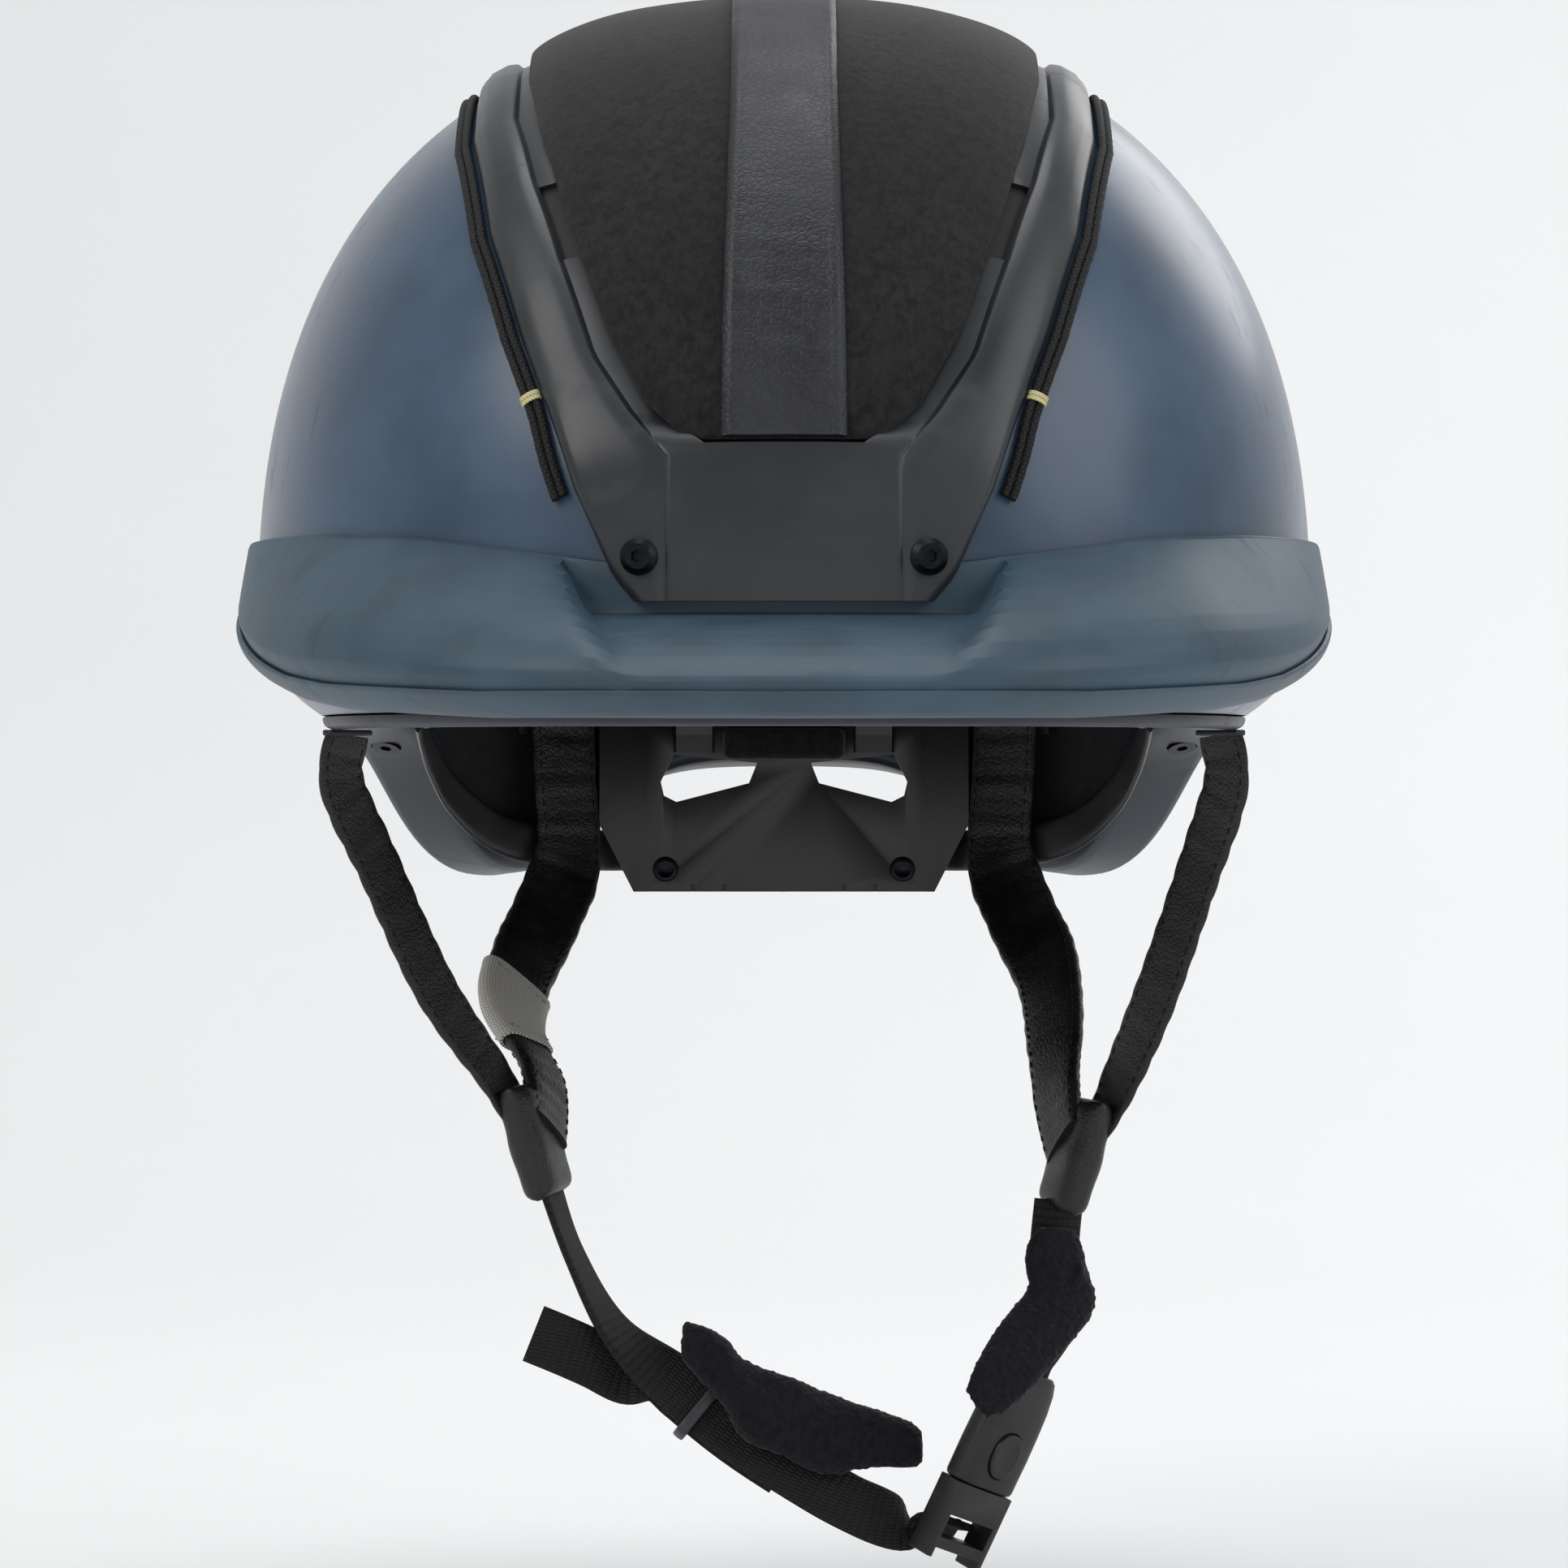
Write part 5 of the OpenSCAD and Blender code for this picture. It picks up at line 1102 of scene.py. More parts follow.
TAIL_UNDER = -(WEB_T + 0.8)
WEB_STRAP = [JOIN_R + vec(-3, 0.5, -9), vec(56.5, 8, -112), vec(57.5, 6.5, -122),
             on_buckle(0, 0.4, BUCKLE_L + 4), on_buckle(0, 0, BUCKLE_L - 3)]
WEB_STRAP_WIDES = [vec(0.9, 0.42, 0), vec(0.9, 0.42, 0), vec(0.85, 0.5, -0.1), BUCKLE_X, BUCKLE_X]


def beside(path, wides, k, across, above):
    """Points beside and above a strap's middle line at fractional indices k."""
    _, x, y = frames(path, wides)
    i = np.arange(len(path))

    def read(a):
        return np.stack([np.interp(k, i, a[:, c]) for c in range(3)], -1)
    return read(path) + unit(read(x)) * across + unit(read(y)) * above


def web_band(name, path, wides, w=WEB_W):
    """Flat woven band with slightly thicker selvedges."""
    o = band(w, WEB_T, 0.0, 17)
    o[:, 1] *= 1 + 0.16 * np.exp(-((np.abs(o[:, 0]) - w / 2 + 1) / 0.7) ** 2)
    return Solid().tube(carried(path, wides, o)).object(name, 50)


def tail_path():
    """The loose end: laid under the strap, then free past the keeper."""
    chin, wides = curve(CHIN_POINTS, CHIN_N), curve(CHIN_WIDES, CHIN_N)
    k = np.arange(14, 7.9, -0.5) * CHIN_N / 3
    laid = beside(chin, wides, k, 0, TAIL_UNDER)
    free = [vec(-33, 5.3, -136.3), vec(-40, 1.6, -132.5), vec(-46.5, -1.5, -129.3),
            vec(-52, -2, -127)]
    path = curve(np.vstack([laid[::2], free]), 8)
    at_k = np.stack([np.interp(k, np.arange(len(wides)), wides[:, c]) for c in range(3)], -1)
    turned = np.vstack([at_k[::2], np.repeat(vec(0.3, 0.3, 0.9)[None], 4, 0)])
    return path, curve(turned, 8)


def ring_grid(c, x, y, t, w, h, wall, deep):
    """A rounded section, wall by deep, carried round a rounded rectangle w by h about t."""
    a = np.linspace(0, 2 * math.pi, 64, endpoint=False)
    cx, sy = np.cos(a), np.sin(a)
    ring = np.stack([np.sign(cx) * np.abs(cx) ** 0.35 * w,
                     np.sign(sy) * np.abs(sy) ** 0.35 * h], -1)
    b = np.linspace(0, 2 * math.pi, 16, endpoint=False)
    sec = np.stack([np.sign(np.cos(b)) * np.abs(np.cos(b)) ** 0.7 * wall,
                    np.sign(np.sin(b)) * np.abs(np.sin(b)) ** 0.7 * deep], -1)
    out = unit(np.stack([ring[:, 0] / w ** 2, ring[:, 1] / h ** 2], -1))
    flat = ring[:, None] + out[:, None] * sec[None, :, :1]
    return c + x * flat[..., :1] + y * flat[..., 1:] + t * np.broadcast_to(
        sec[None, :, 1:], flat.shape[:2] + (1,))


def keeper_mesh():
    """Rubber ring round the strap and its loose end."""
    chin, wides = curve(CHIN_POINTS, CHIN_N), curve(CHIN_WIDES, CHIN_N)
    k = 10 * CHIN_N // 3
    t, x, y = (a[k] for a in frames(chin, wides))
    p = ring_grid(chin[k] + y * TAIL_UNDER / 2, x, y, t, (WEB_W + 1.4) / 2 + 0.6,
                  (2 * WEB_T + 2) / 2 + 0.6, 0.6, 1.25)
    return Solid().grid(p, True, True).object("Strap_keeper", 60)


def gasket_mesh():
    """Two rubber grommets where the front straps leave the rim."""
    solid, up = Solid(), vec(0, 0, 1)
    for side in (1, -1):
        x = unit(vec(-0.62 * side, 0.78, 0))
        solid.grid(ring_grid(EXIT * vec(side, 1, 1) + vec(0, 0, -0.5), x, np.cross(up, x), up,
                             FRONT_W / 2 - 0.3, 1.1, 0.5, 0.6), True, True)
    return solid.object("Strap_gaskets", 60)


def left_pad_mesh():
    """Fleece pad before the chin strap: two edge curves joined across a leaning plane.

    Thickness: 4.6 * (1 - |f|^3.2)^0.5 across, drawn in at both ends."""
    low = curve([[-22.6, 0, -134], [-13.7, 0, -142.8], [-9.5, 0, -149.5], [-1, 0, -153.4],
                 [8.3, 0, -156.8], [19.2, 0, -155.8], [28.9, 0, -156]], 10)
    high = curve([[-21.8, 0, -125.1], [-12.8, 0, -129.3], [-8.6, 0, -133.5], [3.2, 0, -137.9],
                  [15, 0, -142.1], [26, 0, -146.1], [28.9, 0, -148.2]], 10)
    f = np.sin(np.linspace(-1, 1, 25) * math.pi / 2)[None, :, None]
    u = np.linspace(-1, 1, len(low))[:, None, None]
    pinch = np.sqrt(np.clip(1 - np.abs(u) ** 12, 0.02, 1))
    p = (low + high)[:, None] / 2 + f * (high - low)[:, None] / 2 * pinch ** 0.3
    p[..., 1] = PAD_LEAN[0] + PAD_LEAN[1] * (p[..., 0] + 4.6) + PAD_LEAN[2] * (p[..., 2] + 155.3)
    thick = 4.6 * np.sqrt(np.clip(1 - np.abs(f) ** 3.2, 0.01, 1)) * pinch
    sag = 0.5 * np.sin(p[..., :1] * 0.35 + 1) * np.sin(f * 2.2)
    front = vec(0.1325, -0.865, 0.3525)
    rise = np.interp(np.linspace(0, 6, len(low)), np.arange(7), [2.2, 2.2, 2.2, 1.3, 0, 0, 0])
    p = p + front * rise[:, None, None]
    return Solid().skins(p + front * (thick + sag * (thick > 2)), p).object("Chin_pad_left", 180)


def right_pad_mesh():
    """Fleece pad on the buckle's strap: a pillow outline along the strap and past its front."""
    path, wides = curve(WEB_STRAP, 4), curve(WEB_STRAP_WIDES, 4)
    laid = beside(path, wides, np.arange(2, 9.0), -2.0, WEB_T / 2 + 1.2 + 2.25)
    p = curve(np.vstack([laid, [50.2, -7, -128.6], [45, -13.3, -134.7], [39.5, -18.2, -141]]), 8)
    f = np.linspace(-1, 1, len(p))
    swell = np.sqrt(np.clip(1 - np.abs(f) ** 5, 0.03, 1))
    o = widened(band(14.5, 3.6, 0.5, 17), 0.25 + 0.75 * swell)
    o[..., 1] *= swell[:, None]
    return Solid().tube(carried(p, vec(0.9, 0.42, 0), o)).object("Chin_pad_right", 180)


FLEECE_LUMP = 0.25
CLOTH_PRESSURE, CLOTH_FRAMES = 4.0, 20
OVAL_POINTS = 48


def fleeced(obj):
    """Small even lumps along the normals, from three crossed sines."""
    mesh = obj.data
    co = np.empty(len(mesh.vertices) * 3)
    no = np.empty(len(mesh.vertices) * 3)
    mesh.vertices.foreach_get("co", co)
    mesh.vertex_normals.foreach_get("vector", no)
    co, no = co.reshape(-1, 3) / MM, no.reshape(-1, 3)
    lump = (np.sin(co[:, 0] * 2.3 + np.sin(co[:, 2] * 1.7)) * np.sin(co[:, 2] * 2.9 + co[:, 1])
            * np.sin(co[:, 1] * 2.1 + 1))
    mesh.vertices.foreach_set("co", ((co + no * (lump * FLEECE_LUMP)[:, None]) * MM).ravel())
    mesh.update()
    return obj


def puffed(obj, cap, voxel):
    """Cloth pressure for twenty frames on a remeshed copy, each point moved at most cap."""
    mod = obj.modifiers.new("Remesh", "REMESH")
    mod.mode, mod.voxel_size = "VOXEL", voxel * MM
    settle(obj)
    before = np.empty(len(obj.data.vertices) * 3)
    obj.data.vertices.foreach_get("co", before)
    mod = obj.modifiers.new("Cloth", "CLOTH")
    mod.settings.use_pressure = True
    mod.settings.uniform_pressure_force = CLOTH_PRESSURE
    mod.settings.effector_weights.gravity = 0
    mod.settings.quality = 5
    mod.point_cache.frame_start, mod.point_cache.frame_end = 1, CLOTH_FRAMES
    for f in range(1, CLOTH_FRAMES + 1):
        bpy.context.scene.frame_set(f)
    settle(obj)
    bpy.context.scene.frame_set(1)
    after = np.empty_like(before)
    obj.data.vertices.foreach_get("co", after)
    move = (after - before).reshape(-1, 3)
    size = np.linalg.norm(move, axis=1, keepdims=True)
    move *= np.minimum(1, cap * MM / np.maximum(size, 1e-9))
    obj.data.vertices.foreach_set("co", (before.reshape(-1, 3) + move).ravel())
    shade(obj, 180)
    return obj


def superellipse(w, t, power):
    """Closed outline |x/w|^p + |y/t|^p = 1."""
    a = np.linspace(0, 2 * math.pi, OVAL_POINTS, endpoint=False)
    c, s = np.cos(a), np.sin(a)
    return np.stack([np.sign(c) * np.abs(c) ** (2 / power) * w / 2,
                     np.sign(s) * np.abs(s) ** (2 / power) * t / 2], -1)


def buckle_body_mesh():
    """Rings from the bottom of the socket out to the mouth, round the rim and up the outside."""
    cw, ct = BUCKLE_W - 4, BUCKLE_T - 3
    rings = [(CAVE_L, cw, ct, 9), (0.5, cw, ct, 9), (0.1, cw + 0.5, ct + 0.5, 8),
             (0.0, BUCKLE_W - 1.6, BUCKLE_T - 1.4, 4), (0.3, BUCKLE_W - 0.6, BUCKLE_T - 0.4, 3.6),
             (1.0, BUCKLE_W, BUCKLE_T, 3.5), (3, BUCKLE_W, BUCKLE_T, 3.5),
             (8, BUCKLE_W + 0.2, BUCKLE_T, 3.5), (14, BUCKLE_W, BUCKLE_T, 3.4),
             (19, BUCKLE_W - 0.2, BUCKLE_T - 0.3, 3.2), (23, BUCKLE_W - 0.8, BUCKLE_T - 1.2, 3),
             (25.2, BUCKLE_W - 1.8, BUCKLE_T - 2.4, 2.8), (26, BUCKLE_W - 3.2, BUCKLE_T - 4, 2.6)]
    p = np.stack([np.c_[superellipse(w, t, e), np.full(OVAL_POINTS, z)] for z, w, t, e in rings])
    body = Solid().tube(in_buckle(p)).object("Buckle_body", 40)
    oval = superellipse(8.1, 10.5, 2.3)
    hole = np.stack([np.c_[oval[:, 0], np.full(OVAL_POINTS, y), oval[:, 1] + BUTTON_Z]
                     for y in (-6, -0.9)])
    tool = Solid().tube(in_buckle(hole)).object("Cutter", 40)
    mod = body.modifiers.new("Hole", "BOOLEAN")
    mod.operation, mod.solver, mod.object = "DIFFERENCE", "EXACT", tool
    settle(body)
    bpy.data.objects.remove(tool)
    shade(body, 35)
    return body


def button_mesh():
    """Oval button: rings up its wall, over an eased edge and a dished face."""
    rings = [(-2.5, 1.0), (-4.1, 1.0), (-4.38, 0.97), (-4.5, 0.9), (-4.42, 0.7), (-4.34, 0.4),
             (-4.3, 0.1)]
    oval = superellipse(7.6, 10.0, 2.3)
    p = np.stack([np.c_[oval[:, 0] * k, np.full(OVAL_POINTS, y), oval[:, 1] * k + BUTTON_Z]
                  for y, k in rings])
    return Solid().tube(in_buckle(p)).object("Release_button", 40)


def spring_mesh():
    """Helix of three turns behind the button."""
    w = np.linspace(0, 6 * math.pi, 120)[:, None]
    p = np.hstack([2.3 * np.cos(w), -2.25 + w / (6 * math.pi) * 1.4, BUTTON_Z + 2.3 * np.sin(w)])
    a = np.linspace(0, 2 * math.pi, 8, endpoint=False)
    return Solid().tube(carried(in_buckle(p), BUCKLE_Y, np.stack([np.cos(a), np.sin(a)], -1) * 0.22)
                        ).object("Button_spring", 60)


def rivet_mesh():
    """Two closed rivets: a flange and a dished head turned round each axis."""
    rings = [(0.0, 1.3), (3.0, 1.3), (3.0, 0.6), (2.5, -0.25), (1.9, -0.4), (1.5, -0.1), (0.0, 0.1)]
    a = np.linspace(0, 2 * math.pi, 32, endpoint=False)
    r, d = np.array(rings).T
    rivets = Solid()
    for x in (-26.4, 26.4):
        p = np.stack([x + r[:, None] * np.cos(a), np.broadcast_to((94 - 0.3 + d)[:, None], (7, 32)),
                      -32 + r[:, None] * np.sin(a)], -1)
        rivets.grid(p[:, ::-1], False, True)
    return rivets.object("Cradle_rivets", 40)


def rounded_copy(node, width, name=None, segments=2):
    """A CAD node's shape with its doubles merged, flat faces joined and its edges bevelled."""
    obj = bpy.data.objects.new(name or node.capitalize(), frame["nodes"][node].data.copy())
    bpy.context.scene.collection.objects.link(obj)
    bm = bmesh.new()
    bm.from_mesh(obj.data)
    bmesh.ops.remove_doubles(bm, verts=bm.verts, dist=2e-6)
    bmesh.ops.dissolve_limit(bm, angle_limit=math.radians(1), verts=bm.verts, edges=bm.edges)
    bm.to_mesh(obj.data)
    bm.free()
    mod = obj.modifiers.new("Bevel", "BEVEL")
    mod.width, mod.segments = width * MM, segments
    mod.limit_method, mod.angle_limit = "ANGLE", math.radians(30)
    mod.use_clamp_overlap = True
    settle(obj)
    shade(obj, 40)
    return obj


# ---- Padding and headring -----------------------------------------------------------------

def wall_pad_mesh(name, az_from, az_to, z_low, z_high, t, stand, quilts):
    """Pad on the liner: thickness an oval both ways, with sewn channels pressed in."""
    az = np.linspace(az_from, az_to, 90)[:, None]
    f = np.sin(np.linspace(-1, 1, 31) * math.pi / 2)[None]
    low = z_low + edge_z(az)
    z = low + (z_high - low) * (f + 1) / 2
    g = 2 * (az - az_from) / (az_to - az_from) - 1
    full = (np.sqrt(np.clip(1 - np.abs(f) ** 5, 0.01, 1))
            * np.sqrt(np.clip(1 - np.abs(g) ** 14, 0.01, 1)))
    channel = np.zeros_like(full)
    for q in quilts:
        channel = channel + np.exp(-((g - q) / 0.018) ** 2)
    thick = t * full * (1 - 0.42 * np.clip(channel, 0, 1))
    base = inner_r(az, z, LINER_IN - GAP) - stand
    return Solid().skins(at(az, base, z), at(az, base - thick, z)).object(name, 180)


def crown_pad_mesh():
    """Pad under the crown: wide at both middle lobes, narrow between."""
    t = np.linspace(60, 132, 70)[:, None]
    f = np.sin(np.linspace(-1, 1, 25) * math.pi / 2)[None]
    wide = 11 + 17 * np.sin(math.pi * (t - 60) / 72) ** 6
    end = np.sqrt(np.clip(1 - np.abs((t - 96) / 36) ** 12, 0.01, 1))
    thick = 5.0 * np.sqrt(np.clip(1 - np.abs(f) ** 5, 0.01, 1)) * end
    lift = LINER_IN - GAP
    return Solid().skins(over_pt(t, f * wide, lift + 0 * f), over_pt(t, f * wide, lift - thick)
                         ).object("Crown_pad", 180)


def band_path():
    """Middle line of the right headring band, from the temple to its rack."""
    points = []
    for az, z, stand in ((78, 2, 2.3), (92, -1, 2.3), (106, -7, 2.3), (120, -15, 2.3),
                         (134, -23, 2.3), (146, -27, 2.3)):
        points.append(at(az, inner_r(az, edge_z(az), LIP_IN) - stand, float(z)))
    end = vec(32.4, 100.2, -27.8)
    return curve([*points, end + vec(8, -7.7, 0), end], 14)


# ---- Add-on -------------------------------------------------------------------------------

def colour_property(name, code):
    """A colour the panel shows."""
    return bpy.props.FloatVectorProperty(
        name=name, description=name + " colour", subtype="COLOR", size=3, min=0, max=1,
        default=linear(code)[:3])


class HelmetLook(bpy.types.PropertyGroup):
    """Sizes and colours that can be changed."""

    shell: colour_property("Shell", "#2c4258")
    bottom: colour_property("Bottom shell", "#131b27")
    peak: colour_property("Peak", "#2a4150")
    frame: colour_property("Centre frame", "#1d1f23")
    cover: colour_property("Vent cover", "#1b1b1c")
    strip: colour_property("Leather strip", "#191a20")
    strap: colour_property("Straps", "#0b0b0d")
    fleece: colour_property("Chin pads", "#100e15")
    webbing: colour_property("Webbing", "#0c0c0e")
    thread: colour_property("Whipping thread", "#d8cf9c")
    stitch_pitch: bpy.props.FloatProperty(
        name="Stitch pitch", description="Distance between stitches in millimetres",
        default=2.7, min=1.5, max=6)
    floor_drop: bpy.props.FloatProperty(
        name="Floor drop", description="Gap between the buckle and the floor", unit="LENGTH",
        default=0.012, min=0.0, max=0.3)
    view_distance: bpy.props.FloatProperty(
        name="View distance", description="Distance of the camera in front of the brow",
        unit="LENGTH", default=1.3, min=0.5, max=5)


class Step:
    """What the operators share."""

    bl_options = {"REGISTER", "UNDO"}

    def execute(self, context):
        """Builds the pieces, and lets an error stop the script."""
        self.build(context)
        return {"FINISHED"}


class HELMET_OT_stage(Step, bpy.types.Operator):
    """Camera, soft studio lights and a pale floor that rises behind, clear from its back"""

    bl_idname = "helmet.stage"
    bl_label = "Stage"

    def build(self, context):
        """Camera first, then lights, floor and world."""
        scene = context.scene
        camera = bpy.data.objects.new("Camera", bpy.data.cameras.new("Camera"))
        scene.collection.objects.link(camera)
        camera.location = (0, -look().view_distance, -0.013)
        camera.rotation_euler = (math.pi / 2, 0, 0)
        camera.data.sensor_width = 36
        camera.data.lens = 143.6
        scene.camera = camera
        for name, at_point, size, power, colour in LIGHTS:
            data = bpy.data.lights.new(name, "AREA")
            data.shape, data.size, data.energy, data.color = "DISK", size, power, colour
            lamp = bpy.data.objects.new(name, data)
            scene.collection.objects.link(lamp)
            lamp.location = at_point
            lamp.rotation_euler = (Vector((0, 0, 0)) - Vector(at_point)).to_track_quat(
                "-Z", "Y").to_euler()
        scene.view_settings.view_transform = "Standard"
        world = bpy.data.worlds.new("Studio")
        scene.world = world
        world.use_nodes = True
        back = world.node_tree.nodes["Background"]
        back.inputs["Color"].default_value = (0.96, 0.98, 1.0, 1)
        back.inputs["Strength"].default_value = 0.52
        floor_z = CAD_BOX[0][2] / MM - look().floor_drop / MM
        bend = np.linspace(0.1, math.pi / 2, 14)
        y = np.r_[np.linspace(-SWEEP_HALF, SWEEP_R, 12), SWEEP_R * (1 + np.sin(bend)), 2 * SWEEP_R]
        z = np.r_[np.zeros(12), SWEEP_R * (1 - np.cos(bend)), SWEEP_TOP]
        x = np.linspace(-SWEEP_HALF, SWEEP_HALF, 9)
        p = np.stack(np.broadcast_arrays(x[None], y[:, None], floor_z + z[:, None]), -1)
        floor = Solid().grid(p).object("Floor", 60)
        m = Finish("Floor paper")
        speck = m.noise(m.coords, 3.0, 4.0)
        m.surface(Base_Color=m.tint(speck, (0.86, 0.86, 0.86, 1), (0.9, 0.9, 0.9, 1)),
                  Roughness=0.9, Specular_IOR_Level=0.1,
                  Alpha=m.add("ShaderNodeNewGeometry", 6))
        floor.data.materials.append(m.mat)


# The floor sheet: half its width, the radius of its bend and the height of its back
SWEEP_HALF, SWEEP_R, SWEEP_TOP = 4000.0, 900.0, 3600.0
# Name, place in metres, diameter in metres, power in watts and colour
LIGHTS = (
    ("Key", (-1.3, -1.1, 1.3), 1.3, 13, (1, 0.99, 0.97)),
    ("Fill", (1.5, -0.8, 0.9), 1.4, 9, (0.95, 0.97, 1)),
    ("Top", (0.0, 0.1, 1.7), 1.2, 9, (1, 1, 1)),
    ("Rim", (0.9, 1.3, 0.9), 1.0, 5, (1, 1, 1)),
    ("Under", (0.0, -0.9, -0.14), 0.5, 0.5, (1, 1, 1)),
)


class HELMET_OT_shell(Step, bpy.types.Operator):
    """Outer shell, liner and bottom shell"""

    bl_idname = "helmet.shell"
    bl_label = "Shell and liner"

    def build(self, context):
        """Smooth skins of the same formulas as the frame's solids."""
        fit(dome("Outer_shell", (0, -SHELL_T), (EDGE_TUCK, EDGE_TUCK), 0), "Shell satin",
            "shell_satin", "outer_shell")
        fit(dome("Foam_liner", (LINER_OUT, LINER_IN), (EDGE_TUCK, LINER_TUCK), RIM_T), "Foam",
            "foam", "eps_liner")
        fit(drilled(bottom_shell_mesh(), rim_screw_places(), 3.3, 4), "Bottom navy",
            "bottom_navy", "bottom_shell")
        keep_node("rim_screws", "Screw black")
        fit(gasket_mesh(), "Gasket rubber", "gasket_black", "strap_gaskets")


class HELMET_OT_peak(Step, bpy.types.Operator):
    """Rubber peak with a sunk middle between two ridges"""

    bl_idname = "helmet.peak"
    bl_label = "Peak"

    def build(self, context):
        """One closed profile carried round the front."""
        fit(peak_mesh(), "Peak rubber", "peak_rubber", "peak")


class HELMET_OT_centre_frame(Step, bpy.types.Operator):
    """Centre frame and its screws"""

    bl_idname = "helmet.centre_frame"
    bl_label = "Centre frame"

    def build(self, context):
        """Rounded arms with a ledge, and the screws that hold the plate."""
        fit(centre_frame_mesh(), "Frame charcoal", "frame_charcoal", "centre_frame")
        keep_node("frame_screws", "Screw black")


class HELMET_OT_vent_cover(Step, bpy.types.Operator):
    """Carrier, brushed cloth cover and leather strip"""

    bl_idname = "helmet.vent_cover"
    bl_label = "Vent cover and strip"

    def build(self, context):
        """Crowned skins over the frame's opening."""
        keep_node("cover_carrier", "Carrier black")
        # Painted shade: a black sheet on the shell under the slots stands in for the dark interior
        # seen through them.
        fit(slot_shade_sheet_mesh(), "Carrier black", "carrier_black")
        fit(vent_cover_mesh(), "Cover microfibre", "cover_fabric", "vent_cover")
        fit(leather_strip_mesh(), "Strip leather", "strip_leather", "leather_strip")


class HELMET_OT_cords(Step, bpy.types.Operator):
    """Elastic cords and their whippings"""

    bl_idname = "helmet.cords"
    bl_label = "Elastic cords"

    def build(self, context):
        """Two strands a side, bound near the front."""
        for s, node in ((1, "elastic_cord_right"), (-1, "elastic_cord_left")):
            fit(elastic_cord_mesh(s, node.capitalize()), "Cord braid", "cord_black", node)
        fit(whipping_mesh(), "Gold thread", "thread_gold", "cord_whippings")


class HELMET_OT_straps(Step, bpy.types.Operator):
    """Front and rear straps, the label and the junctions, with their stitching"""

    bl_idname = "helmet.straps"
    bl_label = "Straps"

    def build(self, context):
        """Sewn bands along the harness's lines."""
        for word, s, join, bow, lean in (("right", 1.0, JOIN_R, 5.5, 3.5),
                                         ("left", -1.0, JOIN_L, 6.5, 3.5)):
            strap, thread = sewn_strap("Front_strap_" + word, *front_points(join, bow), FRONT_W,
                                       WEB_T, 0.1, 0.07, 1.7, s)
            fit(strap, "Strap leatherette", "strap_leatherette", "front_strap_" + word)
            fit(thread, "Black stitching", "strap_leatherette")
            strap, thread = sewn_strap("Rear_strap_" + word, *rear_points(join), REAR_W, REAR_T,
                                       0.35, 0.03, 1.6, s)
            fit(strap, "Strap padded", "strap_leatherette", "rear_strap_" + word)
            fit(thread, "Black stitching", "strap_leatherette")
            block, thread = junction_mesh("Strap_junction_" + word, join, lean, s)
            fit(block, "Strap leatherette", "strap_leatherette", "strap_junction_" + word)
            fit(thread, "Black stitching", "strap_leatherette")
        label, thread = label_mesh()
        fit(label, "Label cloth", "label_cloth", "label_loop")
        fit(thread, "Label cloth", "label_cloth")
        keep_node("rear_strap_anchors", "Carrier black")


class HELMET_OT_webbing(Step, bpy.types.Operator):
    """Chin webbing, its loose end, the keeper and the buckle's strap"""

    bl_idname = "helmet.webbing"
    bl_label = "Webbing"

    def build(self, context):
        """Woven bands; the chin strap is taken off its body."""
        chin = web_band("Chin_strap", curve(CHIN_POINTS, CHIN_N), curve(CHIN_WIDES, CHIN_N))
        fit(chin, "Webbing", "webbing", "chin_strap")
        follow_tongue(chin)
        fit(web_band("Webbing_tail", *tail_path()), "Webbing", "webbing", "webbing_tail")
        fit(web_band("Buckle_strap", curve(WEB_STRAP, 14), curve(WEB_STRAP_WIDES, 14), WEB_W - 1),
            "Webbing", "webbing", "buckle_strap")
        fit(keeper_mesh(), "Keeper rubber", "keeper_rubber", "strap_keeper", body="keeper")


def follow_tongue(obj):
    """Takes a soft piece off its body: no parent and no rig body, its place baked into its mesh."""
    obj.parent = None
    del obj["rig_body"]
    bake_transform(obj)


class HELMET_OT_chin_pads(Step, bpy.types.Operator):
    """Fleece pads on the chin strap and on the buckle's strap"""

    bl_idname = "helmet.chin_pads"
    bl_label = "Chin pads"

    def build(self, context):
        """Pillow shapes, puffed and lumped."""
        for mesh, node in ((left_pad_mesh, "chin_pad_left"), (right_pad_mesh, "chin_pad_right")):
            pad = fleeced(softened(puffed(mesh(), 0.6, voxel=1.1)))
            fit(pad, "Fleece", "fleece", node)
            if node == "chin_pad_left":
                follow_tongue(pad)


class HELMET_OT_buckle(Step, bpy.types.Operator):
    """Buckle body, tongue, release button and spring"""

    bl_idname = "helmet.buckle"
    bl_label = "Buckle"

    def build(self, context):
        """Moulded shapes with eased edges."""
        fit(buckle_body_mesh(), "Buckle plastic", "buckle_plastic", "buckle_body")
        fit(rounded_copy("buckle_tongue", 0.5, segments=3), "Buckle plastic", "buckle_plastic",
            "buckle_tongue", body="tongue")
        fit(button_mesh(), "Button plastic", "button_plastic", "release_button", body="button")
        spring = fit(spring_mesh(), "Spring steel", "spring_steel", "button_spring")
        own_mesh(spring)


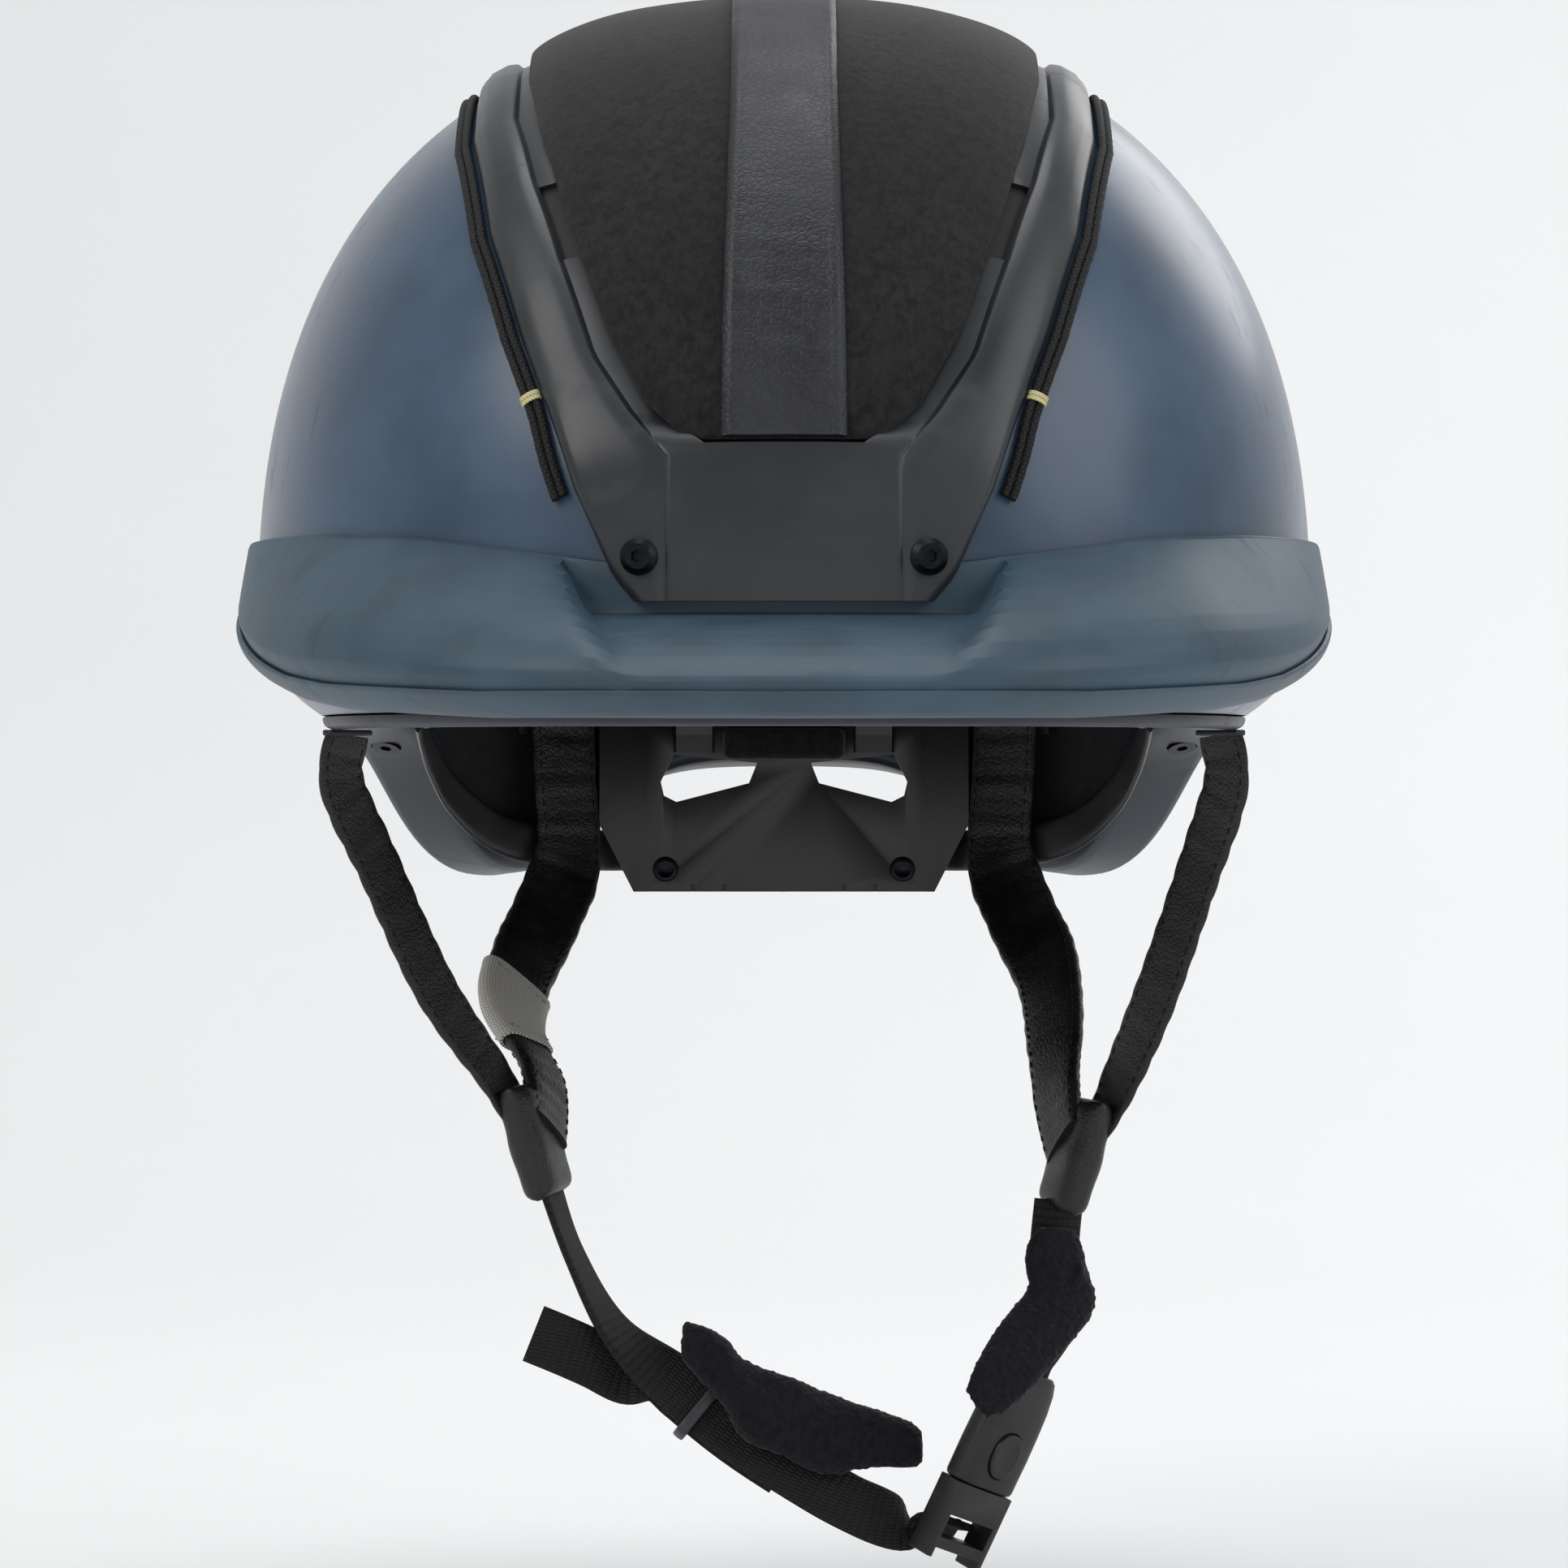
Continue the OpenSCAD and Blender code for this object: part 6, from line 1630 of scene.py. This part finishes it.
class HELMET_OT_padding(Step, bpy.types.Operator):
    """Brow, side and crown pads"""

    bl_idname = "helmet.padding"
    bl_label = "Padding"

    def build(self, context):
        """Knitted pads with sewn channels against the liner."""
        pads = (
            ("brow_pad", lambda: wall_pad_mesh("Brow_pad", -56, 56, 3, 40, 4.6, 2.4,
                                               (-0.66, -0.33, 0, 0.33, 0.66))),
            ("side_pad_right", lambda: wall_pad_mesh("Side_pad_right", 62, 116, 9, 42, 4.6, 0,
                                                     (0,))),
            ("side_pad_left", lambda: wall_pad_mesh("Side_pad_left", -116, -62, 9, 42, 4.6, 0,
                                                    (0,))),
            ("crown_pad", crown_pad_mesh))
        for node, make in pads:
            pad = fit(make(), "Padding knit", "padding", node)
        fit(rounded_copy("nape_pad", 1.6, "Nape_pad", 5), "Padding knit", "padding",
                      "nape_pad")


class HELMET_OT_headring(Step, bpy.types.Operator):
    """Cradle plate, hangers, dial, racks and headring bands"""

    bl_idname = "helmet.headring"
    bl_label = "Headring and dial"

    def build(self, context):
        """Moulded nylon with eased edges, and headring bands taken off their body."""
        for node, width, finish, slot, body in (
                ("cradle_plate", 0.5, "Cradle nylon", "cradle_nylon", HELMET),
                ("dial_housing", 0.45, "Cradle nylon", "cradle_nylon", HELMET),
                ("dial_knob", 0.25, "Gasket rubber", "gasket_black", "dial"),
                ("rack_left", 0.12, "Cradle nylon", "cradle_nylon", "rack_left_body"),
                ("rack_right", 0.12, "Cradle nylon", "cradle_nylon", "rack_right_body")):
            fit(rounded_copy(node, width), finish, slot, node, body=body)
        keep_node("dial_pinion", "Pinion acetal")
        fit(rivet_mesh(), "Screw black", "screw_black", "cradle_rivets")
        for node in ("housing_screws", "temple_pins"):
            keep_node(node, "Screw black")
        keep_node("cradle_hangers", "Cradle nylon")
        for s, word in ((1.0, "right"), (-1.0, "left")):
            path = band_path() * (s, 1, 1)
            strip = Solid().tube(carried(path, vec(0, 0, 1), band(9, 1.4, 0.05, 11))).object(
                "Headring_" + word, 50)
            fit(strip, "Cradle nylon", "cradle_nylon", "headring_" + word)
            strip.parent = None
            del strip["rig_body"]
            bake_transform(strip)


STEPS = (HELMET_OT_stage, HELMET_OT_shell, HELMET_OT_peak, HELMET_OT_centre_frame,
         HELMET_OT_vent_cover, HELMET_OT_cords, HELMET_OT_straps, HELMET_OT_webbing,
         HELMET_OT_chin_pads, HELMET_OT_buckle, HELMET_OT_padding, HELMET_OT_headring)


class HELMET_PT_panel(bpy.types.Panel):
    """Sizes, colours and steps"""

    bl_label = "Riding helmet"
    bl_idname = "HELMET_PT_panel"
    bl_space_type = "VIEW_3D"
    bl_region_type = "UI"
    bl_category = "Helmet"

    def draw(self, context):
        """Lists the settings and one button for each step."""
        for key in HelmetLook.__annotations__:
            self.layout.prop(look(), key)
        for step in STEPS:
            self.layout.operator(step.bl_idname)


CLASSES = (HelmetLook, *STEPS, HELMET_PT_panel)


def register():
    """Registers the classes and the settings."""
    for c in CLASSES:
        bpy.utils.register_class(c)
    bpy.types.Scene.helmet_look = bpy.props.PointerProperty(type=HelmetLook)


def unregister():
    """Takes the settings and classes away."""
    del bpy.types.Scene.helmet_look
    for c in reversed(CLASSES):
        bpy.utils.unregister_class(c)


def main():
    """Runs every step in order."""
    register()
    for step in STEPS:
        getattr(bpy.ops.helmet, step.bl_idname.split(".")[1])()


if __name__ == "__main__":
    main()
